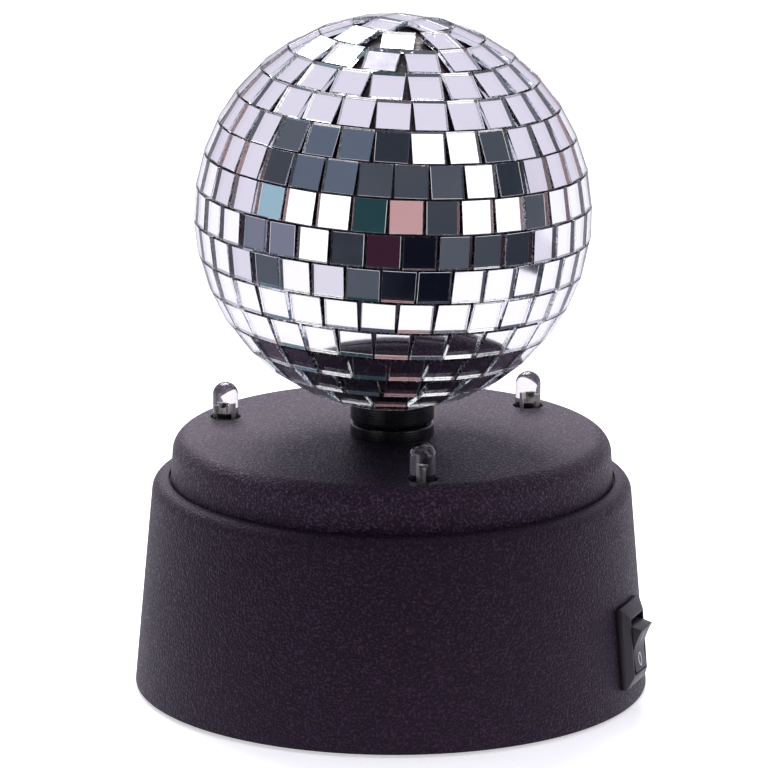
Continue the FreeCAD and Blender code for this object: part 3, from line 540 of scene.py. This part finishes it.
acetal = material("acetal", acetal_look, Subsurface_Weight=0.15, Subsurface_Scale=0.001)


def dress(finish, *nodes):
    """A CAD node keeps its shape and takes a finish."""
    for node in nodes:
        mesh_object = frame["nodes"][node]
        mesh_object.data.materials.clear()
        mesh_object.data.materials.append(finish)


dress(acetal, "axle_bush")

# ---- Gearbox --------------------------------------------------------------------------
# Natural acetal case, lid and gears: three six-to-one steps between the motor's pinion
# and the wheel on the ball's axle. Four plated screws hang it under the cover.


def steel_look(place):
    brushed = place.node("Mapping", {}, {"Vector": place, "Scale": (1, 1, 12)}).noise(0.5 * MM, 3)
    return {"Base Color": brushed.mix((0.50, 0.50, 0.52, 1), (0.66, 0.66, 0.67, 1)),
            "Roughness": 0.22 + 0.2 * brushed,
            "Normal": brushed.bump(0.004 * MM, 0.5)}


def zinc_look(place):
    spangle = place.cells(0.7 * MM)
    return {"Base Color": spangle.mix((0.30, 0.31, 0.33, 1), (0.52, 0.53, 0.55, 1)),
            "Roughness": 0.3 + 0.2 * place.noise(0.5 * MM)}


steel = material("ground_steel", steel_look, Metallic=1.0)
zinc = material("zinc_plate", zinc_look, Metallic=1.0)
dress(acetal, "gearbox_case", "gearbox_lid", "output_gear", "compound_gear_low",
      "compound_gear_high", "motor_pinion")
dress(steel, "axle", "gear_pins", "motor_shaft")
dress(zinc, "gearbox_screws", "motor_screws", "cover_screws")

# ---- Motor ----------------------------------------------------------------------------
# A flat battery motor: drawn and nickel-plated can, moulded end cap, ferrite ring and a
# three-pole armature of stacked laminations.


def ferrite_look(place):
    return {"Base Color": place.noise(0.3 * MM, 4).mix((0.03, 0.03, 0.033, 1), (0.07, 0.07, 0.075, 1)),
            "Roughness": 0.6 + 0.2 * place.noise(1 * MM)}


def lamination_look(place):
    layer = place.math("PINGPONG", place.axis("Z") / (0.5 * MM), 0.5)
    return {"Base Color": layer.mix((0.18, 0.18, 0.19, 1), (0.46, 0.46, 0.48, 1)),
            "Roughness": 0.35 + 0.3 * layer,
            "Normal": layer.bump(0.03 * MM)}


def tinned_look(place):
    dull = place.noise(0.8 * MM, 3)
    return {"Base Color": dull.mix((0.62, 0.60, 0.55, 1), (0.80, 0.78, 0.72, 1)),
            "Roughness": 0.25 + 0.25 * dull}


tinned = material("tinned_brass", tinned_look, Metallic=1.0)
dress(steel, "motor_can")
dress(acetal, "motor_end_cap")
dress(material("ferrite", ferrite_look), "motor_magnet")
dress(material("laminations", lamination_look, Metallic=0.9), "motor_armature")
dress(tinned, "motor_terminals", "switch_terminals", "contact_plates", "contact_springs")

# ---- Bottom plate and battery door ----------------------------------------------------
# Plain black satin ABS, finer than the drum's grain because it isn't seen in use. The
# AA cells lie in its tray with bent spring contacts at their ends.
CELL_BAND_START = 12 * MM


def plate_look(place):
    fine = place.noise(0.25 * MM, 3)
    worn = place.noise(12 * MM, 3)
    return {"Base Color": worn.mix((0.016, 0.015, 0.018, 1), (0.030, 0.028, 0.033, 1)),
            "Roughness": 0.45 + 0.2 * worn,
            "Normal": fine.bump(0.03 * MM, 0.6)}


def sleeve_look(place):
    band = place.math("GREATER_THAN", place.axis("Y"), CELL_BAND_START)
    film = place.noise(5 * MM)
    return {"Base Color": band.mix((0.02, 0.16, 0.09, 1), (0.55, 0.30, 0.10, 1)),
            "Roughness": 0.22 + 0.12 * film,
            "Normal": film.bump(0.03 * MM, 0.3)}


def rubber_look(place):
    dust = place.noise(0.9 * MM, 4)
    return {"Base Color": dust.mix((0.015, 0.015, 0.016, 1), (0.06, 0.058, 0.056, 1)),
            "Roughness": 0.75 + 0.15 * dust,
            "Normal": dust.bump(0.05 * MM, 0.6)}


dress(material("plate_black", plate_look), "bottom_plate", "battery_door", "door_latch")
dress(material("cell_sleeve", sleeve_look), "battery_cells")
dress(material("foot_rubber", rubber_look), "rubber_feet")
dress(zinc, "plate_screws")

# ---- Wiring ---------------------------------------------------------------------------
# Thin PVC-covered wires, the little LED boards with their green mask, and one resistor.


def red_wire_look(place):
    return {"Base Color": place.noise(4 * MM).mix((0.36, 0.015, 0.012, 1), (0.50, 0.03, 0.02, 1)),
            "Roughness": 0.3 + 0.15 * place.noise(1 * MM)}


def black_wire_look(place):
    return {"Base Color": place.noise(4 * MM).mix((0.012, 0.012, 0.012, 1), (0.03, 0.03, 0.03, 1)),
            "Roughness": 0.3 + 0.15 * place.noise(1 * MM)}


def board_look(place):
    weave = place.noise(0.35 * MM, 3)
    return {"Base Color": weave.mix((0.010, 0.10, 0.035, 1), (0.02, 0.16, 0.06, 1)),
            "Roughness": 0.28 + 0.15 * weave}


def resistor_look(place):
    speckle = place.noise(0.4 * MM)
    return {"Base Color": speckle.mix((0.60, 0.50, 0.34, 1), (0.72, 0.62, 0.46, 1)),
            "Roughness": 0.35 + 0.1 * speckle}


dress(material("red_wire", red_wire_look), "motor_wires", "battery_wires")
dress(material("black_wire", black_wire_look), "led_wires")
dress(material("board_green", board_look), "led_boards")
dress(material("resistor_body", resistor_look), "led_resistor")

# ---- LEDs -----------------------------------------------------------------------------
# Water-clear epoxy cast round a tinned lead frame: a slim post, and the anvil that holds
# the chip in its reflector cup. The lens is a plain drum with a domed end and a foot flange.
LED_RADIUS = 2.5 * MM
LED_DOME = 2.35 * MM
FLANGE_RADIUS = LED_RADIUS + 0.4 * MM
FLANGE_HEIGHT = 1 * MM


def epoxy_look(place):
    swirl = place.noise(2.0 * MM, 2)
    return {"Roughness": 0.01 + 0.05 * swirl,
            "Normal": swirl.bump(0.004 * MM, 0.3)}


epoxy = material("clear_epoxy", epoxy_look, Transmission_Weight=1.0, IOR=1.54,
                 Base_Color=(0.97, 0.96, 0.98, 1))
lens_shape = bmesh.new()
for number in range(LED_COUNT):
    one = lathe_mesh([(0, lens_low.z, 0), (FLANGE_RADIUS, lens_low.z, 0.15 * MM),
                      (FLANGE_RADIUS, lens_low.z + FLANGE_HEIGHT, 0.25 * MM),
                      (LED_RADIUS, lens_low.z + FLANGE_HEIGHT, 0.1 * MM),
                      (LED_RADIUS, lens_high.z, LED_DOME), (0, lens_high.z, 0)],
                     steps=14, around=64, centre=led_place(number))
    mesh = bpy.data.meshes.new("one_lens")
    one.to_mesh(mesh)
    one.free()
    lens_shape.from_mesh(mesh)
    bpy.data.meshes.remove(mesh)
lenses = piece("led_lens_castings", lens_shape, epoxy)
fit(lenses, "base", "led_epoxy", "led_lenses")
dress(tinned, "led_leads")

# ---- Rocker switch --------------------------------------------------------------------
# A small snap-in rocker of black nylon: a bezel with broad bevelled faces, and a rocker
# that stands proud at its top because its lower half is pressed in.
SEAT_TO_FRONT = 2.4 * MM
ROCKER_HALF_WIDTH = 3.2 * MM
ROCKER_HALF_FOOT = 5.25 * MM
ROCKER_HALF_FACE = 4.3 * MM
ROCKER_RISE = 1.1 * MM
REST_TILT = math.radians(11.0)
WELL_HALF_WIDTH = ROCKER_HALF_WIDTH + 0.25 * MM
WELL_HALF_HEIGHT = ROCKER_HALF_FOOT + 0.25 * MM
WELL_FLOOR = -5.5 * MM
BODY_BACK = -9.5 * MM
BEZEL_SLOPE = 1.2 * MM
ROCKER_FOOT_Z = -1.8 * MM
KEEL_HALF_WIDTH = 1.6 * MM
KEEL_Z = -2.8 * MM


def nylon_look(place):
    fine = place.noise(0.3 * MM, 3)
    smear = place.noise(2.5 * MM, 3)
    return {"Base Color": smear.mix((0.0075, 0.0060, 0.0085, 1), (0.014, 0.0115, 0.016, 1)),
            "Roughness": 0.34 + 0.16 * smear,
            "Normal": fine.bump(0.02 * MM, 0.5)}


def mark_look(place):
    worn = place.noise(0.4 * MM, 3)
    return {"Base Color": worn.mix((0.34, 0.33, 0.40, 1), (0.62, 0.60, 0.68, 1)),
            "Roughness": 0.5 + 0.15 * worn}


nylon = material("switch_nylon", nylon_look, Specular_IOR_Level=0.4)


def stacked_frames(sections):
    """bmesh through rectangles given as (half width, half height, z), closed at both ends."""
    shape = bmesh.new()
    signs = ((-1, -1), (1, -1), (1, 1), (-1, 1))
    rings = [[shape.verts.new((x * across, y * along, z)) for x, y in signs]
             for across, along, z in sections]
    for low, high in zip(rings, rings[1:]):
        for k in range(4):
            shape.faces.new([low[k - 1], low[k], high[k], high[k - 1]])
    shape.faces.new(rings[0])
    shape.faces.new(rings[-1])
    bmesh.ops.recalc_face_normals(shape, faces=shape.faces)
    return shape


bezel = stacked_frames([
    (BODY_HALF_WIDTH, BODY_HALF_HEIGHT, BODY_BACK), (BODY_HALF_WIDTH, BODY_HALF_HEIGHT, 0),
    (BEZEL_HALF_WIDTH, BEZEL_HALF_HEIGHT, 0),
    (BEZEL_HALF_WIDTH, BEZEL_HALF_HEIGHT, SEAT_TO_FRONT - BEZEL_SLOPE),
    (WELL_HALF_WIDTH + 0.5 * MM, WELL_HALF_HEIGHT + 0.35 * MM, SEAT_TO_FRONT),
    (WELL_HALF_WIDTH, WELL_HALF_HEIGHT, SEAT_TO_FRONT),
    (WELL_HALF_WIDTH, WELL_HALF_HEIGHT, WELL_FLOOR)])
bmesh.ops.bevel(bezel, geom=bezel.edges, offset=0.14 * MM, segments=2, affect="EDGES", profile=0.5)
bezel.transform(switch_frame)
switch_body = piece("switch_bezel_and_body", bezel, nylon)
fit(switch_body, "base", "switch_plastic", "switch_body")
dress(steel, "switch_pin")

VALLEY = SEAT_TO_FRONT + 0.1 * MM
FACE_STEPS = 10


def face_height(y):
    """Hollow face of the rocker: it rises from the valley in the middle to both ends."""
    return VALLEY + ROCKER_RISE * (abs(y) / ROCKER_HALF_FACE) ** 1.5


face_line = [ROCKER_HALF_FACE * (2 * step / FACE_STEPS - 1) for step in range(FACE_STEPS + 1)]
side = [(-ROCKER_HALF_FOOT, ROCKER_FOOT_Z)] + [(y, face_height(y)) for y in face_line]
side += [(ROCKER_HALF_FOOT, ROCKER_FOOT_Z), (KEEL_HALF_WIDTH, KEEL_Z), (-KEEL_HALF_WIDTH, KEEL_Z)]
rocker = bmesh.new()
cheeks = [[rocker.verts.new((x, y, z)) for y, z in side] for x in (-ROCKER_HALF_WIDTH, ROCKER_HALF_WIDTH)]
for cheek in cheeks:
    rocker.faces.new(cheek)
for k in range(len(side)):
    rocker.faces.new([cheeks[0][k], cheeks[0][k - 1], cheeks[1][k - 1], cheeks[1][k]])
bmesh.ops.recalc_face_normals(rocker, faces=rocker.faces)
sharp_edges = [edge for edge in rocker.edges if edge.calc_face_angle() > math.radians(20)]
bmesh.ops.bevel(rocker, geom=sharp_edges, offset=0.16 * MM, segments=3, affect="EDGES", profile=0.5)
at_rest = (switch_frame @ Matrix.Translation((0, 0, PIVOT_OUT)) @ Matrix.Rotation(REST_TILT, 4, "X")
           @ Matrix.Translation((0, 0, -PIVOT_OUT)))
rocker.transform(at_rest)
rocker_piece = piece("switch_rocker_cap", rocker, nylon, smooth_degrees=20)
fit(rocker_piece, "rocker", "switch_plastic", "switch_rocker")

# The off ring and the on bar are printed in white on the rocker's face.
MARK_LINE = 0.17 * MM
MARK_FILM = 0.03 * MM
MARK_STEPS = 40
OFF_WIDTH = 0.72 * MM
OFF_HEIGHT = 1.15 * MM
OFF_MIDDLE = -2.35 * MM
ON_HEIGHT = 1.1 * MM
ON_MIDDLE = 2.2 * MM
ON_CORE = 0.01 * MM
ON_CORE_HEIGHT = 0.9 * MM


def printed_band(shape, inner, outer):
    """Thin raised film between two closed (x, y) outlines on the rocker's face."""
    corners = ((inner, -MARK_FILM), (inner, MARK_FILM), (outer, MARK_FILM), (outer, -MARK_FILM))
    layers = [[shape.verts.new((x, y, face_height(y) + lift)) for x, y in line]
              for line, lift in corners]
    for k in range(len(inner)):
        for layer, following in zip(layers, layers[1:] + layers[:1]):
            shape.faces.new([layer[k - 1], layer[k], following[k], following[k - 1]])


def oval(half_width, half_height, middle):
    turns = [2 * math.pi * k / MARK_STEPS for k in range(MARK_STEPS)]
    return [(half_width * math.cos(turn), middle + half_height * math.sin(turn)) for turn in turns]


marks = bmesh.new()
printed_band(marks, oval(OFF_WIDTH - MARK_LINE, OFF_HEIGHT - MARK_LINE, OFF_MIDDLE),
             oval(OFF_WIDTH + MARK_LINE, OFF_HEIGHT + MARK_LINE, OFF_MIDDLE))
printed_band(marks, oval(ON_CORE, ON_CORE_HEIGHT, ON_MIDDLE), oval(MARK_LINE, ON_HEIGHT, ON_MIDDLE))
bmesh.ops.recalc_face_normals(marks, faces=marks.faces)
marks.transform(at_rest)
marks_piece = piece("switch_marks", marks, material("switch_print", mark_look))
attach(marks_piece, "rocker")

# ---- Ball core ------------------------------------------------------------------------
# Two thin moulded half shells of dark plastic, smeared with the glue that holds the tiles.
# They show only in the gaps between tiles and round the collar.
core_low, core_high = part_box("core_lower")
SHELL_LAP = 2 * MM
centre_z = core_high.z - SHELL_LAP
core_radius = centre_z - core_low.z
CORE_WALL = 1.8 * MM
HOLE_RADIUS = 5.0 * MM


def core_look(place):
    glue = place.noise(2.2 * MM, 4).ramp((0.45, 0.0), (0.6, 1.0))
    tint = glue.mix((0.018, 0.007, 0.012, 1), (0.055, 0.025, 0.040, 1))
    return {"Base Color": tint,
            "Roughness": 0.55 - 0.35 * glue,
            "Normal": (glue + place.noise(0.6 * MM, 3)).bump(0.12 * MM, 0.7)}


core_finish = material("core_and_glue", core_look)


def shell_outline(first, last, steps=28):
    """Outer then inner arc between two latitudes, as lathe corners."""
    arcs = []
    for radius, ends in ((core_radius, (first, last)), (core_radius - CORE_WALL, (last, first))):
        for step in range(steps + 1):
            angle = math.radians(ends[0] + (ends[1] - ends[0]) * step / steps)
            across = radius * math.cos(angle)
            arcs.append((across if across > 1e-6 else 0, centre_z + radius * math.sin(angle), 0))
    return arcs


hole_latitude = -math.degrees(math.acos(HOLE_RADIUS / core_radius))
upper = piece("ball_shell_upper", lathe_mesh(shell_outline(0, 90), around=96), core_finish)
fit(upper, "ball", "core_plastic", "core_upper")
lower = piece("ball_shell_lower", lathe_mesh(shell_outline(hole_latitude, 0), around=96), core_finish)
fit(lower, "ball", "core_plastic", "core_lower")

# ---- Collar ---------------------------------------------------------------------------
# The black collar that turns with the ball, with a rounded lower edge over the running
# gap, and the stem inside the ball that grips the axle.
collar_low, collar_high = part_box("ball_collar")
axle_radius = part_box("axle")[1].x
STEM_RADIUS = 4.95 * MM
COLLAR_GAP = 0.02 * MM
collar_top_outer = centre_z - math.sqrt(core_radius ** 2 - neck_radius ** 2) - COLLAR_GAP
collar_top_inner = centre_z - math.sqrt(core_radius ** 2 - STEM_RADIUS ** 2) - COLLAR_GAP
collar = piece("collar_and_stem", lathe_mesh([
    (axle_radius, collar_low.z, 0.1 * MM), (neck_radius, collar_low.z, 0.65 * MM),
    (neck_radius, collar_top_outer, 0), (STEM_RADIUS, collar_top_inner, 0),
    (STEM_RADIUS, collar_high.z, 0.2 * MM),
    (axle_radius, collar_high.z, 0)], around=128), neck_black)
fit(collar, "ball", "neck_plastic", "ball_collar")

# ---- Mirror tiles ---------------------------------------------------------------------
# Squares of silvered float glass, scored and snapped, glued by hand ring after ring, so
# each leans a little its own way. The glass is clear, the mirror is the film behind it,
# and the snapped edges are pale and a little rough.
TILE_SIZE = 6.25 * MM
GLASS = 1.0 * MM
ARRIS = 0.045 * MM
BALL_RADIUS = 37.9 * MM
TILING_LEAN = math.radians(2.6)
RING_COUNT = 16
HAND_LEAN = math.radians(0.7)
TILE_SEED = 11


def glass_look(place):
    dust = place.noise(0.22 * MM, 2).ramp((0.70, 0.0), (0.78, 1.0))
    haze = place.noise(2.5 * MM, 3)
    return {"Roughness": 0.008 + 0.02 * haze + 0.25 * dust,
            "Normal": haze.bump(0.004 * MM, 0.3)}


def silver_look(place):
    ripple = place.noise(3.0 * MM, 2)
    spot = place.noise(0.35 * MM, 2).ramp((0.74, 0.0), (0.80, 1.0))
    return {"Base Color": spot.mix((0.93, 0.93, 0.945, 1), (0.40, 0.38, 0.40, 1)),
            "Roughness": 0.015 + 0.03 * ripple + 0.2 * spot}


def snapped_look(place):
    chips = place.noise(0.5 * MM, 3)
    chipped = chips.ramp((0.56, 0.0), (0.68, 1.0))
    return {"Roughness": 0.03 + 0.35 * chipped,
            "Normal": chips.bump(0.05 * MM, 0.6)}


tile_glass = material("tile_glass", glass_look, Transmission_Weight=1.0, IOR=1.5,
                      Base_Color=(0.985, 0.992, 0.99, 1))
tile_silver = material("tile_silver", silver_look, Metallic=1.0)
tile_edge = material("tile_snapped_edge", snapped_look, Transmission_Weight=1.0, IOR=1.5,
                     Base_Color=(0.93, 0.985, 1.0, 1))

half = TILE_SIZE / 2
tile_shape = box_mesh(-half, half, -half, half, -GLASS, 0, bevel=ARRIS)
tile_mesh = bpy.data.meshes.new("one_tile")
tile_shape.to_mesh(tile_mesh)
tile_shape.free()
for attribute_name, chosen in (("is_back", lambda face: face.normal.z < -0.9),
                               ("is_edge", lambda face: abs(face.normal.z) < 0.9)):
    attribute = tile_mesh.attributes.new(attribute_name, "BOOLEAN", "FACE")
    attribute.data.foreach_set("value", [chosen(face) for face in tile_mesh.polygons])
tile_pattern = bpy.data.objects.new("tile_pattern", tile_mesh)


class Grower:
    """Builds a Geometry Nodes tree one node at a time."""

    def __init__(self, name, inputs):
        self.tree = bpy.data.node_groups.new(name, "GeometryNodeTree")
        for input_name, kind in inputs.items():
            self.tree.interface.new_socket(input_name, in_out="INPUT", socket_type="NodeSocket" + kind)
        self.tree.interface.new_socket("Geometry", in_out="OUTPUT", socket_type="NodeSocketGeometry")
        self.inputs = self.tree.nodes.new("NodeGroupInput")

    def given(self, name):
        return self.inputs.outputs[name]

    def node(self, kind, sockets, output=0, **settings):
        made = self.tree.nodes.new(kind)
        for name, setting in settings.items():
            setattr(made, name, setting)
        for name, value in sockets.items():
            if isinstance(value, bpy.types.NodeSocket):
                self.tree.links.new(value, made.inputs[name])
            else:
                made.inputs[name].default_value = value
        return made.outputs[output]

    def math(self, operation, first, second):
        return self.node("ShaderNodeMath", {0: first, 1: second}, operation=operation)

    def finish(self, geometry):
        output = self.tree.nodes.new("NodeGroupOutput")
        self.tree.links.new(geometry, output.inputs[0])
        return self.tree


grow = Grower("mirror_ring", {"Tile": "Object", "Count": "Int", "Turn": "Float", "Latitude": "Float",
                              "Ball Radius": "Float", "Centre Height": "Float", "Tiling Lean": "Float",
                              "Hand Lean": "Float", "Seed": "Int", "Glass": "Material",
                              "Edge": "Material", "Silver": "Material"})
index = grow.node("GeometryNodeInputIndex", {})
step = grow.math("DIVIDE", 2 * math.pi, grow.given("Count"))
around = grow.math("ADD", grow.given("Turn"), grow.math("MULTIPLY", index, step))
down = grow.math("SUBTRACT", math.pi / 2, grow.given("Latitude"))
square_on = grow.node("ShaderNodeCombineXYZ", {0: down, 2: around})
facing = grow.node("FunctionNodeEulerToRotation", {0: square_on})
place = grow.node("FunctionNodeRotateVector",
                  {0: grow.node("ShaderNodeCombineXYZ", {2: grow.given("Ball Radius")}), 1: facing})
lean_low = grow.node("ShaderNodeCombineXYZ", {i: grow.math("MULTIPLY", grow.given("Hand Lean"), -1.0)
                                              for i in range(3)})
lean_high = grow.node("ShaderNodeCombineXYZ", {i: grow.given("Hand Lean") for i in range(3)})
by_hand = grow.node("FunctionNodeRandomValue", {0: lean_low, 1: lean_high, "Seed": grow.given("Seed")},
                    data_type="FLOAT_VECTOR")
turned = grow.node("FunctionNodeRotateRotation",
                   {0: facing, 1: grow.node("FunctionNodeEulerToRotation", {0: by_hand})},
                   rotation_space="LOCAL")
points = grow.node("GeometryNodePoints", {"Count": grow.given("Count"), "Position": place})
tile = grow.node("GeometryNodeObjectInfo", {"Object": grow.given("Tile")}, output="Geometry")
ring = grow.node("GeometryNodeInstanceOnPoints", {"Points": points, "Instance": tile, "Rotation": turned})
leaning = grow.node("ShaderNodeCombineXYZ", {1: grow.given("Tiling Lean")})
up = grow.node("ShaderNodeCombineXYZ", {2: grow.given("Centre Height")})
placed = grow.node("GeometryNodeTransform", {"Geometry": ring, "Rotation": leaning, "Translation": up})
solid = grow.node("GeometryNodeRealizeInstances", {"Geometry": placed})
back = grow.node("GeometryNodeInputNamedAttribute", {"Name": "is_back"}, data_type="BOOLEAN")
edge = grow.node("GeometryNodeInputNamedAttribute", {"Name": "is_edge"}, data_type="BOOLEAN")
all_glass = grow.node("GeometryNodeSetMaterial", {"Geometry": solid, "Material": grow.given("Glass")})
with_edge = grow.node("GeometryNodeSetMaterial", {"Geometry": all_glass, "Selection": edge,
                                                 "Material": grow.given("Edge")})
with_back = grow.node("GeometryNodeSetMaterial", {"Geometry": with_edge, "Selection": back,
                                                 "Material": grow.given("Silver")})
ring_tree = grow.finish(with_back)


def grown(name, tree, values):
    """Plain mesh of what the tree makes from these named inputs."""
    seed_mesh = bpy.data.meshes.new(name + "_seed")
    carrier = bpy.data.objects.new(name + "_carrier", seed_mesh)
    bpy.context.scene.collection.objects.link(carrier)
    modifier = carrier.modifiers.new("grow", "NODES")
    modifier.node_group = tree
    sockets = {item.name: item.identifier for item in tree.interface.items_tree if item.in_out == "INPUT"}
    for input_name, value in values.items():
        modifier[sockets[input_name]] = value
    ready = carrier.evaluated_get(bpy.context.evaluated_depsgraph_get())
    mesh = bpy.data.meshes.new_from_object(ready)
    carrier.modifiers.remove(modifier)
    bpy.data.objects.remove(carrier)
    return mesh


def first_tile(node):
    """Tiles in a CAD ring, and its first tile's latitude and bearing in the leaning tiling."""
    faces = frame["nodes"][node].data.polygons
    middle = sum((face.center for face in faces[:TILE_FACES]), Vector()) / TILE_FACES
    outward = unlean @ (middle - Vector((0, 0, centre_z)))
    latitude = math.asin(outward.z / outward.length)
    return len(faces) // TILE_FACES, latitude, math.atan2(outward.x, -outward.y)


def mirror_ring(name, node, latitude, count, turn, seed):
    mesh = grown(name, ring_tree, {
        "Tile": tile_pattern, "Count": count, "Turn": turn, "Latitude": latitude,
        "Ball Radius": BALL_RADIUS, "Centre Height": centre_z,
        "Tiling Lean": TILING_LEAN, "Hand Lean": HAND_LEAN, "Seed": seed,
        "Glass": tile_glass, "Edge": tile_edge, "Silver": tile_silver})
    fit(piece_of_mesh(name, mesh, None, smooth_degrees=10), "ball", "mirror_glass", node)


# The CAD says how many tiles a ring has and where they sit. A tile there is a plain box.
TILE_FACES = len(frame["nodes"]["mirror_pole_tile"].data.polygons)
unlean = Matrix.Rotation(-TILING_LEAN, 3, "Y")
_, _, pole_turn = first_tile("mirror_ring_01")
mirror_ring("pole_tile_glass", "mirror_pole_tile", math.pi / 2, 1, pole_turn, TILE_SEED)
for number in range(1, RING_COUNT + 1):
    node = f"mirror_ring_{number:02d}"
    count, latitude, turn = first_tile(node)
    mirror_ring(f"ring_{number:02d}_glass", node, latitude, count, turn, TILE_SEED + number)
